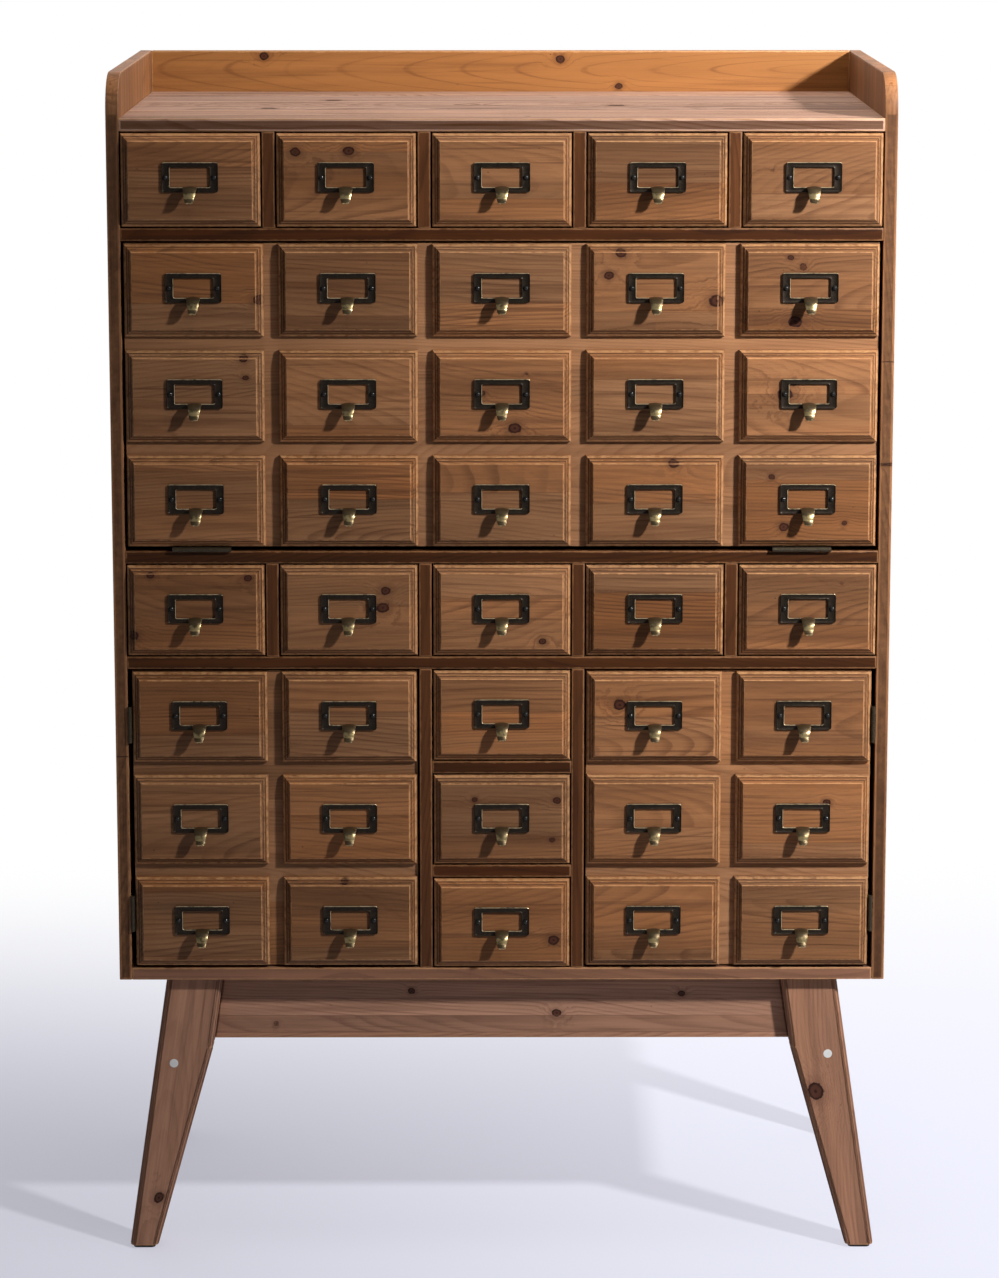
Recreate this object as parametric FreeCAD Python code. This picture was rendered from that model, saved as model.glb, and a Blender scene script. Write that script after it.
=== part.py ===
import FreeCAD, Part
import math
import os

# An apothecary cabinet on splayed legs, in millimetres, with +Z up and the front facing -Y.
# It has eight rows of five moulded fronts. The top row and the fifth row are drawers, as is
# the middle column of the three lowest rows. Rows two to four are one drop-down flap, and
# the two lower corners are doors, all three dressed with false drawer fronts.

# Case boards
case_width = 800.0
case_depth = 400.0
board = 13.0
back_thickness = 5.0
cell_height = 98.0
gallery_height = 45.0
gallery_curve_radius = 40.0

# Rows and columns of fronts, counted from the top left
COLUMNS = 5
ROWS = 8
TOP_ROW = 1
FLAP_TOP_ROW = 2
FLAP_BOTTOM_ROW = 4
MIDDLE_ROW = 5
LOWER_ROWS = (6, 7, 8)
CENTRE_COLUMN = 3
DOOR_COLUMNS = 2

# Stand
stand_height = 300.0
pad_thickness = 3.0
pad_inset = 3.0
leg_thickness = 28.0
leg_recess = 12.0
leg_top_inset = 49.0
leg_top_width = 58.0
leg_foot_inset = 5.5
leg_foot_width = 29.0
leg_chamfer = 4.0
knee_below_apron = 6.0
apron_height = 72.0
apron_recess = 15.0
side_apron_inset = 8.0

# Moulded fronts
front_gap = 1.7
front_proud = 7.5
front_inset = 7.0
lip_height = 2.5
lip_ledge = 2.2
bevel_run = 4.6
field_step = 1.2
field_ledge = 1.2
false_strip_across = 15.0
false_strip_up = 14.0
false_edge_inset = 1.0

# Drawer boxes
drawer_side = 9.0
drawer_bottom = 4.0
drawer_bottom_lift = 5.0
drawer_top_gap = 14.0
drawer_slide_gap = 0.5
drawer_back_gap = 4.0

# Label pulls, one on each front
pull_width = 57.0
pull_height = 30.5
pull_depth = 2.4
pull_corner = 2.5
pull_rise = 3.5
window_width = 40.5
window_height = 20.0
card_lap = 2.0
card_pocket = 1.0
tongue_root_width = 15.0
tongue_tip_width = 10.0
tongue_thickness = 1.8
tongue_reach = 17.0
tongue_bend_radius = 10.0
tongue_flare_radius = 9.5
tongue_bend_angle = 80.0
tongue_flare_angle = 45.0
tongue_tip_round = 4.1
pull_screw_spacing = 49.0
pull_screw_head = 2.4
pull_screw_shank = 1.2
pull_screw_length = 7.0
screw_hole_clearance = 0.05

# Flap and doors, whose panels lie back from the case's front
panel_recess = 4.5
free_gap = 2.0
flap_side_gap = 2.5
flap_hinge_gap = 4.0
door_hinge_gap = 4.5

# Hinges
KNUCKLES = 5
knuckle_gap = 0.3
leaf_thickness = 1.2
leaf_width = 11.0
leaf_clearance = 0.5
pin_clearance = 0.05
flap_hinge_length = 60.0
flap_hinge_from_side = 92.0
flap_barrel_radius = 2.6
flap_pin_radius = 1.25
flap_axis_proud = 3.0
door_hinge_length = 38.0
door_hinge_from_edge = 57.0
door_barrel_radius = 1.9
door_pin_radius = 0.9
door_axis_proud = 1.5

# Flap stays: a slotted arm turns on the flap and slides on a shoulder stud in the case
stay_pivot_height = 149.0
stay_pivot_standoff = 8.0
stay_stud_angle = 45.0
stay_arm_width = 14.0
stay_arm_thickness = 2.0
stay_arm_from_side = 10.5
stay_slot_clearance = 0.2
stay_stud_radius = 2.9
stay_collar_radius = 5.0
stay_gap = 1.0
stay_head = 2.0
stay_pin_radius = 2.5
stay_ear_thickness = 2.0
stay_ear_height = 12.0
stay_foot_width = 22.0
stay_foot_height = 24.0
stay_foot_thickness = 1.5

# Magnet catches and their strike plates
catch_width = 44.0
catch_depth = 16.0
catch_height = 13.0
catch_gap = 0.6
strike_width = 36.0
strike_height = 9.0
strike_thickness = 0.8
flap_catch_offset = 250.0
door_catch_offset = 40.0

# Screws that hold the legs to the bottom panel
leg_screw_radius = 2.5
leg_screw_head = 4.5
leg_screw_head_height = 2.5
leg_screw_length = 45.0
leg_screw_spacing = 26.0

# Two coordinates nearer than this are taken as equal
same_place = 1e-6

# Derived layout
half_width = case_width / 2
inner_half = half_width - board
cell_width = (case_width - (COLUMNS + 1) * board) / COLUMNS
column_pitch = cell_width + board
row_pitch = cell_height + board
case_bottom = stand_height
case_height = ROWS * row_pitch + board
case_top = case_bottom + case_height
inner_depth = case_depth - back_thickness
front_width = cell_width - 2 * front_gap
front_height = cell_height - 2 * front_gap
panel_back = panel_recess + board
pull_reach = front_proud + tongue_reach
centre_shift = (pull_reach - case_depth) / 2

os.makedirs("parts", exist_ok=True)
nodes = {}


def vec(x, y, z):
    return FreeCAD.Vector(x, y, z)


def add(node, *solids):
    """Put solids into a named node."""
    nodes.setdefault(node, []).extend(solids)


def block(x0, x1, y0, y1, z0, z1):
    """A box between two corners."""
    return Part.makeBox(x1 - x0, y1 - y0, z1 - z0, vec(x0, y0, z0))


def prism_along_y(outline, y0, y1):
    """A polygon given as (x, z) points, carried from y0 to y1."""
    points = [vec(x, y0, z) for x, z in outline]
    face = Part.Face(Part.makePolygon(points + points[:1]))
    return face.extrude(vec(0, y1 - y0, 0))


def rod_along_x(radius, x0, x1, y, z):
    """A cylinder along X."""
    return Part.makeCylinder(radius, x1 - x0, vec(x0, y, z), vec(1, 0, 0))


def mirrored(shape):
    """The same shape on the other side of the middle plane."""
    return shape.mirror(vec(0, 0, 0), vec(1, 0, 0))


def column_centre(column):
    return -inner_half + cell_width / 2 + (column - 1) * column_pitch


def cell_floor(row):
    return case_bottom + board + (ROWS - row) * row_pitch


def cell_ceiling(row):
    return cell_floor(row) + cell_height


def side_panel():
    """The right side, which rises above the top as a gallery with a curved front corner."""
    top = case_top + gallery_height
    radius = gallery_curve_radius
    short = radius * (1 - math.sqrt(0.5))
    front = vec(inner_half, 0, top - radius)
    middle = vec(inner_half, short, top - short)
    crown = vec(inner_half, radius, top)
    curve = Part.Arc(front, middle, crown).toShape()
    corners = [
        crown,
        vec(inner_half, case_depth, top),
        vec(inner_half, case_depth, case_bottom),
        vec(inner_half, 0, case_bottom),
        front,
    ]
    edges = [Part.makeLine(a, b) for a, b in zip(corners, corners[1:])]
    face = Part.Face(Part.Wire([curve] + edges))
    return face.extrude(vec(board, 0, 0))


def full_shelf(z):
    """A board right across the case, with its top at z."""
    return block(-inner_half, inner_half, 0, inner_depth, z - board, z)


def build_case():
    right = side_panel()
    add("right_side_panel", right)
    add("left_side_panel", mirrored(right))
    gallery_top = case_top + gallery_height
    back_face = case_depth - board
    under_top = case_top - board
    add("top_panel", block(-inner_half, inner_half, 0, back_face, under_top, case_top))
    add("gallery_board", block(-inner_half, inner_half, back_face, case_depth, under_top, gallery_top))
    add("bottom_panel", full_shelf(case_bottom + board))
    for row in (TOP_ROW, FLAP_BOTTOM_ROW, MIDDLE_ROW):
        add("shelf_boards", full_shelf(cell_floor(row)))
    for row in (TOP_ROW, MIDDLE_ROW):
        for column in range(1, COLUMNS):
            left = column_centre(column) + cell_width / 2
            z0, z1 = cell_floor(row), cell_ceiling(row)
            add("drawer_dividers", block(left, left + board, 0, inner_depth, z0, z1))
    inner = cell_width / 2
    for left in (-inner - board, inner):
        z0, z1 = cell_floor(LOWER_ROWS[-1]), cell_ceiling(LOWER_ROWS[0])
        add("lower_partitions", block(left, left + board, 0, inner_depth, z0, z1))
    for row in LOWER_ROWS[:-1]:
        z = cell_floor(row)
        add("centre_shelves", block(-inner, inner, 0, inner_depth, z - board, z))
    add("back_panel", block(-inner_half, inner_half, inner_depth, case_depth, case_bottom, under_top))


def leg_outer_x(z):
    """The outer edge of the right legs at a height."""
    share = (case_bottom - z) / (case_bottom - pad_thickness)
    top = half_width - leg_top_inset
    foot = half_width - leg_foot_inset
    return top + (foot - top) * share


def leg_inner_x(z):
    """The inner edge of the right legs above the knee, parallel to the outer edge."""
    return leg_outer_x(z) - leg_top_width


def leg(y0):
    """A right leg: parallel edges down to the knee, then a taper to the foot."""
    knee_z = case_bottom - apron_height - knee_below_apron
    foot = pad_thickness
    outline = [
        (leg_inner_x(case_bottom), case_bottom),
        (leg_outer_x(case_bottom), case_bottom),
        (leg_outer_x(foot), foot),
        (leg_outer_x(foot) - leg_foot_width, foot),
        (leg_inner_x(knee_z), knee_z),
    ]
    solid = prism_along_y(outline, y0, y0 + leg_thickness)
    long_edges = []
    for edge in solid.Edges:
        a, b = edge.Vertexes[0].Point, edge.Vertexes[-1].Point
        if abs(a.y - b.y) < same_place and abs(a.z - b.z) > same_place:
            long_edges.append(edge)
    return solid.makeChamfer(leg_chamfer, long_edges)


def build_stand():
    front_y = leg_recess
    rear_y = case_depth - leg_recess - leg_thickness
    for place, y0 in (("front", front_y), ("rear", rear_y)):
        right = leg(y0)
        add(place + "_right_leg", right)
        add(place + "_left_leg", mirrored(right))
        outer = leg_outer_x(pad_thickness) - pad_inset
        inner = leg_outer_x(pad_thickness) - leg_foot_width + pad_inset
        pad = block(inner, outer, y0 + pad_inset, y0 + leg_thickness - pad_inset, 0, pad_thickness)
        add("foot_pads", pad, mirrored(pad))
    low = case_bottom - apron_height
    outline = [
        (-leg_inner_x(case_bottom), case_bottom),
        (leg_inner_x(case_bottom), case_bottom),
        (leg_inner_x(low), low),
        (-leg_inner_x(low), low),
    ]
    front_face = front_y + apron_recess
    rear_face = case_depth - front_face - board
    add("cross_aprons", prism_along_y(outline, front_face, front_face + board))
    add("cross_aprons", prism_along_y(outline, rear_face, rear_face + board))
    outer = leg_outer_x(case_bottom) - side_apron_inset
    rail = block(outer - board, outer, front_y + leg_thickness, rear_y, low, case_bottom)
    add("side_aprons", rail, mirrored(rail))


def rectangle(cx, cz, width, height, y):
    """A closed rectangular wire facing the front."""
    x0, x1 = cx - width / 2, cx + width / 2
    z0, z1 = cz - height / 2, cz + height / 2
    corners = [vec(x0, y, z0), vec(x1, y, z0), vec(x1, y, z1), vec(x0, y, z1)]
    return Part.makePolygon(corners + corners[:1])


def pull_holes(cx, cz):
    """The two pilot holes that a front has for its pull's screws."""
    radius = pull_screw_shank + screw_hole_clearance
    holes = []
    for side in (-1, 1):
        start = vec(cx + side * pull_screw_spacing / 2, -front_proud, cz + pull_rise)
        holes.append(Part.makeCylinder(radius, pull_screw_length, start, vec(0, 1, 0)))
    return holes


def moulded_front(cx, cz, width, height, back_y):
    """A front with a square lip, a bevel and a raised field, drilled for its pull."""
    x0, x1 = cx - width / 2, cx + width / 2
    z0, z1 = cz - height / 2, cz + height / 2
    base = block(x0, x1, -lip_height, back_y, z0, z1)
    bevel_y = field_step - front_proud
    wide = width - 2 * lip_ledge
    tall = height - 2 * lip_ledge
    outer = rectangle(cx, cz, wide, tall, -lip_height)
    inner = rectangle(cx, cz, wide - 2 * bevel_run, tall - 2 * bevel_run, bevel_y)
    bevel = Part.makeLoft([outer, inner], True, True)
    edge = lip_ledge + bevel_run + field_ledge
    field = block(x0 + edge, x1 - edge, -front_proud, bevel_y, z0 + edge, z1 - edge)
    front = base.fuse([bevel, field]).removeSplitter()
    return front.cut(pull_holes(cx, cz))


def tongue_side(offset):
    """One long side of the tongue's section, as straight, bend and flare points (reach, z)."""
    bend = math.radians(tongue_bend_angle)
    flare = math.radians(tongue_flare_angle)
    tip_run = tongue_flare_radius * (math.sin(bend) - math.sin(bend - flare))
    tip_corner = tongue_thickness / 2 * math.sin(bend - flare)
    run = tongue_reach - tongue_bend_radius * math.sin(bend) - tip_run - tip_corner
    root_z = -window_height / 2 - tongue_thickness / 2
    bend_centre = (run, root_z - tongue_bend_radius)
    outer = tongue_bend_radius + offset
    inner = tongue_flare_radius - offset

    def on_bend(angle):
        return (
            bend_centre[0] + outer * math.sin(angle),
            bend_centre[1] + outer * math.cos(angle),
        )

    joint_reach = bend_centre[0] + tongue_bend_radius * math.sin(bend)
    joint_z = bend_centre[1] + tongue_bend_radius * math.cos(bend)
    flare_centre = (
        joint_reach + tongue_flare_radius * math.sin(bend),
        joint_z + tongue_flare_radius * math.cos(bend),
    )

    def on_flare(heading):
        return (
            flare_centre[0] - inner * math.sin(heading),
            flare_centre[1] - inner * math.cos(heading),
        )

    return [
        (pull_depth / 2, root_z + offset),
        on_bend(0),
        on_bend(bend / 2),
        on_bend(bend),
        on_flare(bend - flare / 2),
        on_flare(bend - flare),
    ]


def tongue():
    """The finger tongue: a bent strip, tapered and rounded towards its tip."""

    def place(point):
        return vec(-tongue_root_width / 2, -point[0], point[1])

    over = [place(p) for p in tongue_side(tongue_thickness / 2)]
    under = [place(p) for p in tongue_side(-tongue_thickness / 2)]
    edges = []
    for side in (over, under):
        edges.append(Part.makeLine(side[0], side[1]))
        edges.append(Part.Arc(side[1], side[2], side[3]).toShape())
        edges.append(Part.Arc(side[3], side[4], side[5]).toShape())
    edges.append(Part.makeLine(over[0], under[0]))
    edges.append(Part.makeLine(over[5], under[5]))
    section = Part.Face(Part.Wire(Part.__sortEdges__(edges)))
    strip = section.extrude(vec(tongue_root_width, 0, 0))
    root = tongue_root_width / 2
    tip = tongue_tip_width / 2
    tip_z = min(p.z for p in over + under)
    shoulder_z = tip_z + tongue_tip_round
    top_z = -window_height / 2 + tongue_thickness
    near = -tongue_reach - 2 * tongue_thickness
    left, right = vec(-tip, near, shoulder_z), vec(tip, near, shoulder_z)
    outline = [
        Part.makeLine(vec(-root, near, top_z), vec(root, near, top_z)),
        Part.makeLine(vec(root, near, top_z), right),
        Part.Arc(right, vec(0, near, tip_z), left).toShape(),
        Part.makeLine(left, vec(-root, near, top_z)),
    ]
    mask = Part.Face(Part.Wire(outline)).extrude(vec(0, -near, 0))
    return strip.common(mask)


def pull_shape():
    """A label frame with its window, card pocket, screw holes and tongue, on the plane y = 0."""
    half_w, half_h = pull_width / 2, pull_height / 2
    plate = block(-half_w, half_w, -pull_depth, 0, -half_h, half_h)
    corners = [e for e in plate.Edges if abs(e.Vertexes[0].Y - e.Vertexes[-1].Y) > same_place]
    plate = plate.makeFillet(pull_corner, corners)
    win_w, win_h = window_width / 2, window_height / 2
    window = block(-win_w, win_w, -pull_depth, 0, -win_h, win_h)
    card_w, card_low = win_w + card_lap, -win_h - card_lap
    pocket = block(-card_w, card_w, -card_pocket, 0, card_low, half_h)
    radius = pull_screw_shank + screw_hole_clearance
    cuts = [window, pocket]
    for side in (-1, 1):
        start = vec(side * pull_screw_spacing / 2, -pull_depth, 0)
        cuts.append(Part.makeCylinder(radius, pull_depth, start, vec(0, 1, 0)))
    return plate.cut(cuts).fuse(tongue()).removeSplitter()


def pull_screw_shape():
    """A round-head screw whose head sits on the plane y = 0 and whose shank goes to +Y."""
    head = Part.makeSphere(pull_screw_head, vec(0, 0, 0), vec(0, -1, 0), 0, 90, 360)
    shank = Part.makeCylinder(
        pull_screw_shank, pull_depth + pull_screw_length, vec(0, 0, 0), vec(0, 1, 0)
    )
    return head.fuse(shank).removeSplitter()


def add_pull(node, cx, cz):
    """Fix a pull and its two screws on a front whose centre is at cx, cz."""
    z = cz + pull_rise
    add(node, label_pull.translated(vec(cx, -front_proud, z)))
    for side in (-1, 1):
        x = cx + side * pull_screw_spacing / 2
        add(node, pull_screw.translated(vec(x, -front_proud - pull_depth, z)))


def build_drawer(row, column):
    """One drawer: front, sides, back and bottom, with its pull in a node of its own."""
    node = f"drawer_{row}_{column}"
    cx = column_centre(column)
    floor = cell_floor(row)
    cz = floor + cell_height / 2
    add(node, moulded_front(cx, cz, front_width, front_height, front_inset))
    half = front_width / 2
    back = inner_depth - drawer_back_gap
    z0 = floor + drawer_slide_gap
    z1 = cell_ceiling(row) - drawer_top_gap
    add(node, block(cx - half, cx - half + drawer_side, front_inset, back, z0, z1))
    add(node, block(cx + half - drawer_side, cx + half, front_inset, back, z0, z1))
    inner = half - drawer_side
    add(node, block(cx - inner, cx + inner, back - drawer_side, back, z0, z1))
    low = z0 + drawer_bottom_lift
    add(node, block(cx - inner, cx + inner, front_inset, back - drawer_side, low, low + drawer_bottom))
    add_pull(node + "_pull", cx, cz)


def add_false_fronts(prefix, x0, x1, z0, z1, across, up):
    """Cover a panel with false fronts, each with its pull, inside a thin edge."""
    left, low = x0 + false_edge_inset, z0 + false_edge_inset
    wide = x1 - x0 - 2 * false_edge_inset
    tall = z1 - z0 - 2 * false_edge_inset
    width = (wide - (across - 1) * false_strip_across) / across
    height = (tall - (up - 1) * false_strip_up) / up
    for i in range(across):
        for j in range(up):
            cx = left + width / 2 + i * (width + false_strip_across)
            cz = low + height / 2 + j * (height + false_strip_up)
            add(prefix + "_false_fronts", moulded_front(cx, cz, width, height, panel_recess))
            add_pull(prefix + "_pulls", cx, cz)


def hinge_leaf(length, gap, radius, pin_radius, first):
    """A leaf below the hinge axis, which runs along X through the origin.

    first is the first knuckle that the leaf carries, counted from one end.
    """
    pitch = length / KNUCKLES
    low = -gap / 2
    start = radius + leaf_clearance
    solid = block(-length / 2, length / 2, start, start + leaf_width, low, low + leaf_thickness)
    pieces = []
    for k in range(first, KNUCKLES, 2):
        x0 = -length / 2 + k * pitch + (knuckle_gap / 2 if k else 0)
        x1 = -length / 2 + (k + 1) * pitch - (knuckle_gap / 2 if k < KNUCKLES - 1 else 0)
        pieces.append(rod_along_x(radius, x0, x1, 0, 0))
        pieces.append(block(x0, x1, 0, start, low, low + leaf_thickness))
    solid = solid.fuse(pieces).removeSplitter()
    return solid.cut(rod_along_x(pin_radius + pin_clearance, -length, length, 0, 0))


def hinge(length, gap, radius, pin_radius):
    """The fixed leaf, the moving leaf and the pin of a butt hinge at the origin."""
    fixed = hinge_leaf(length, gap, radius, pin_radius, 0)
    moving = hinge_leaf(length, gap, radius, pin_radius, 1).mirror(vec(0, 0, 0), vec(0, 0, 1))
    pin = rod_along_x(pin_radius, -length / 2, length / 2, 0, 0)
    return fixed, moving, pin


def catch(x, ceiling):
    """A magnet catch under a shelf, just behind the panel that it holds."""
    y0 = panel_back + strike_thickness + catch_gap
    half = catch_width / 2
    return block(x - half, x + half, y0, y0 + catch_depth, ceiling - catch_height, ceiling)


def strike(x, ceiling):
    """The strike plate on the panel's inner face, level with its catch."""
    half = strike_width / 2
    middle = ceiling - (catch_height + free_gap) / 2
    z0, z1 = middle - strike_height / 2, middle + strike_height / 2
    return block(x - half, x + half, panel_back, panel_back + strike_thickness, z0, z1)


def stay_points():
    """The hinge axis, the pivot on the flap and the stud in the case, as (y, z).

    Pivot and stud are equally far from the axis, so the arm turns half as far as the flap.
    """
    axis = (-flap_axis_proud, cell_floor(FLAP_BOTTOM_ROW) + flap_hinge_gap / 2)
    pivot = (panel_back + stay_pivot_standoff, axis[1] + stay_pivot_height)
    radius = math.hypot(pivot[0] - axis[0], pivot[1] - axis[1])
    angle = math.radians(stay_stud_angle)
    stud = (axis[0] + radius * math.cos(angle), axis[1] + radius * math.sin(angle))
    return axis, pivot, stud


def stadium(length, radius, x0, x1):
    """A flat bar with round ends along +Y from the origin, between two X planes."""
    bar = block(x0, x1, 0, length, -radius, radius)
    ends = [rod_along_x(radius, x0, x1, y, 0) for y in (0, length)]
    return bar.fuse(ends).removeSplitter()


def stay_arm():
    """The right slotted arm in its place with the flap shut."""
    axis, pivot, stud = stay_points()
    shut = math.hypot(stud[0] - pivot[0], stud[1] - pivot[1])
    lowered = (axis[0] - (pivot[1] - axis[1]), axis[1] + (pivot[0] - axis[0]))
    reach = math.hypot(stud[0] - lowered[0], stud[1] - lowered[1])
    x1 = inner_half - stay_arm_from_side
    x0 = x1 - stay_arm_thickness
    slot_radius = stay_stud_radius + stay_slot_clearance
    arm = stadium(reach, stay_arm_width / 2, x0, x1)
    slot = stadium(reach - shut, slot_radius, x0, x1).translated(vec(0, shut, 0))
    eye = rod_along_x(stay_pin_radius + pin_clearance, x0, x1, 0, 0)
    arm = arm.cut([slot, eye])
    turn = math.degrees(math.atan2(stud[1] - pivot[1], stud[0] - pivot[0]))
    arm.rotate(vec(0, 0, 0), vec(1, 0, 0), turn)
    return arm.translated(vec(0, pivot[0], pivot[1]))


def stay_stud():
    """The right shoulder stud: a collar on the case side, a shank and a head inside the arm."""
    _, _, (y, z) = stay_points()
    outer = inner_half - stay_arm_from_side
    collar_end = outer + stay_gap
    head_start = outer - stay_arm_thickness - stay_gap
    collar = rod_along_x(stay_collar_radius, collar_end, inner_half, y, z)
    shank = rod_along_x(stay_stud_radius, head_start, collar_end, y, z)
    head = rod_along_x(stay_collar_radius, head_start - stay_head, head_start, y, z)
    return collar.fuse([shank, head]).removeSplitter()


def stay_bracket():
    """The right angle bracket on the flap, with the rivet that the arm turns on."""
    _, (y, z), _ = stay_points()
    outer = inner_half - stay_arm_from_side
    ear_end = outer - stay_arm_thickness - stay_gap
    ear_start = ear_end - stay_ear_thickness
    half = stay_ear_height / 2
    ear = block(ear_start, ear_end, panel_back, y, z - half, z + half)
    boss = rod_along_x(half, ear_start, ear_end, y, z)
    foot_half = stay_foot_height / 2
    foot_start = ear_end - stay_foot_width
    foot_end = panel_back + stay_foot_thickness
    foot = block(foot_start, ear_end, panel_back, foot_end, z - foot_half, z + foot_half)
    rivet = rod_along_x(stay_pin_radius, ear_start, outer + stay_gap, y, z)
    head = rod_along_x(
        stay_pin_radius + stay_head, outer + stay_gap, outer + stay_gap + stay_head, y, z
    )
    return foot.fuse([ear, boss, rivet, head]).removeSplitter()


def build_flap():
    floor, ceiling = cell_floor(FLAP_BOTTOM_ROW), cell_ceiling(FLAP_TOP_ROW)
    half = inner_half - flap_side_gap
    z0, z1 = floor + flap_hinge_gap, ceiling - free_gap
    add("flap_panel", block(-half, half, panel_recess, panel_back, z0, z1))
    up = FLAP_BOTTOM_ROW - FLAP_TOP_ROW + 1
    add_false_fronts("flap", -half, half, z0, z1, COLUMNS, up)
    fixed, moving, pin = hinge(flap_hinge_length, flap_hinge_gap, flap_barrel_radius, flap_pin_radius)
    for side in (-1, 1):
        x = side * (half_width - flap_hinge_from_side)
        place = vec(x, -flap_axis_proud, floor + flap_hinge_gap / 2)
        add("case_hinge_leaves", fixed.translated(place))
        add("flap_hardware", moving.translated(place))
        add("hinge_pins", pin.translated(place))
        add("case_fittings", catch(side * flap_catch_offset, ceiling))
        add("flap_hardware", strike(side * flap_catch_offset, ceiling))
    right_stud, right_bracket, right_arm = stay_stud(), stay_bracket(), stay_arm()
    add("case_fittings", right_stud, mirrored(right_stud))
    add("flap_hardware", right_bracket, mirrored(right_bracket))
    add("right_stay_arm", right_arm)
    add("left_stay_arm", mirrored(right_arm))


def build_door(name, side):
    """A door beside the centre column; side is -1 for the left one and 1 for the right."""
    floor, ceiling = cell_floor(LOWER_ROWS[-1]), cell_ceiling(LOWER_ROWS[0])
    hinge_edge = inner_half - door_hinge_gap
    free_edge = cell_width / 2 + board + free_gap
    x0, x1 = sorted((side * hinge_edge, side * free_edge))
    z0, z1 = floor + free_gap, ceiling - free_gap
    prefix = name + "_door"
    add(prefix + "_panel", block(x0, x1, panel_recess, panel_back, z0, z1))
    add_false_fronts(prefix, x0, x1, z0, z1, DOOR_COLUMNS, len(LOWER_ROWS))
    shapes = hinge(door_hinge_length, door_hinge_gap, door_barrel_radius, door_pin_radius)
    targets = ("case_hinge_leaves", prefix + "_hardware", "hinge_pins")
    for z in (z0 + door_hinge_from_edge, z1 - door_hinge_from_edge):
        for target, shape in zip(targets, shapes):
            turned = shape.copy()
            turned.rotate(vec(0, 0, 0), vec(0, 1, 0), -90 * side)
            x = side * (inner_half - door_hinge_gap / 2)
            add(target, turned.translated(vec(x, -door_axis_proud, z)))
    x = side * (free_edge + door_catch_offset)
    add("case_fittings", catch(x, ceiling))
    add(prefix + "_hardware", strike(x, ceiling))


def build_drawers():
    for column in range(1, COLUMNS + 1):
        build_drawer(TOP_ROW, column)
        build_drawer(MIDDLE_ROW, column)
    for row in LOWER_ROWS:
        build_drawer(row, CENTRE_COLUMN)


def build_leg_screws():
    """Two screws through the bottom panel into the top of each leg, in drilled holes."""
    top = case_bottom + board
    x = leg_outer_x(case_bottom) - leg_top_width / 2
    y_front = leg_recess + leg_thickness / 2
    for side in (-1, 1):
        for y, place in ((y_front, "front"), (case_depth - y_front, "rear")):
            for step in (-0.5, 0.5):
                px = side * x + step * leg_screw_spacing
                head = Part.makeCylinder(leg_screw_head, leg_screw_head_height, vec(px, y, top))
                shank = Part.makeCylinder(
                    leg_screw_radius, leg_screw_length, vec(px, y, top), vec(0, 0, -1)
                )
                hole = Part.makeCylinder(
                    leg_screw_radius + screw_hole_clearance,
                    leg_screw_length,
                    vec(px, y, top),
                    vec(0, 0, -1),
                )
                add("case_fittings", head.fuse(shank).removeSplitter())
                hand = "left" if side < 0 else "right"
                for node in ("bottom_panel", f"{place}_{hand}_leg"):
                    nodes[node][0] = nodes[node][0].cut(hole)


label_pull = pull_shape()
pull_screw = pull_screw_shape()
build_case()
build_stand()
build_flap()
build_door("left", -1)
build_door("right", 1)
build_drawers()
build_leg_screws()

for name, solids in nodes.items():
    shape = solids[0] if len(solids) == 1 else Part.makeCompound(solids)
    shape.translated(vec(0, centre_shift, 0)).exportStep(f"parts/{name}.step")
    bad = [i for i, solid in enumerate(solids) if not solid.isValid() or solid.Volume <= 0]
    print(name, len(solids), "solids", round(shape.Volume / 1000.0, 1), "cm3", "faulty" if bad else "")
print(len(nodes), "nodes")
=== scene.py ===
"""Dresses an apothecary cabinet on splayed legs, in metres, with +Z up and the front facing -Y.

The wooden boards, the moulded fronts, the label pulls, the legs and the drawer boxes are modelled here, each
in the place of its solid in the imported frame. Hinges, stays, catches and screws keep their solids and get a
finish. Every piece rides on the body that carries it, so drawers, flap and doors can move.
"""

import logging
import math
import random
from collections.abc import Callable, Iterator, Sequence
from contextlib import contextmanager
from dataclasses import dataclass, field, replace
from enum import Enum

import bpy
import numpy as np
from bpy.types import Material, Node, NodeSocket, NodeTree, Object
from mathutils import Matrix, Vector


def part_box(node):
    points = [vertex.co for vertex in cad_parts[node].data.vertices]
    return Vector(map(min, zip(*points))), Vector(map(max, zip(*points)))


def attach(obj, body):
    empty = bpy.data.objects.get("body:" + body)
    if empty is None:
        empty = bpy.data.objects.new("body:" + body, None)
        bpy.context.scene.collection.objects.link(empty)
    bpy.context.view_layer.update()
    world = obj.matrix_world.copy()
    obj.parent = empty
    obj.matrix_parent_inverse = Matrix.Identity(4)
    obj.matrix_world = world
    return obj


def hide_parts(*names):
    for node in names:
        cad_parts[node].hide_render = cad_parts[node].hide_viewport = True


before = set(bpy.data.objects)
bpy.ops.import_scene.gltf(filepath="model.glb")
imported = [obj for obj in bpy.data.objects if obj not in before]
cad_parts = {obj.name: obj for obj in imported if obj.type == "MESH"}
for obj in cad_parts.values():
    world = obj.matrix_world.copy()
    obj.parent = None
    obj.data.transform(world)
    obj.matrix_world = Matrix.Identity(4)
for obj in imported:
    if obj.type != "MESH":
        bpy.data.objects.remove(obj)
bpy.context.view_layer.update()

LOG = logging.getLogger("cabinet")
MM = 0.001
CLOSE = 0.1 * MM  # places nearer than this count as the same
FACING = 0.9  # the least share of a normal along an axis that a face looks along

Color = tuple[float, float, float, float]
Triple = tuple[float, float, float]
Range = tuple[float, float]
Source = NodeSocket | float | Sequence[float]


class Grain(Enum):
    """The axis that a board's grain runs along."""

    ALONG_X = 0
    ALONG_Y = 1
    ALONG_Z = 2


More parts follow.
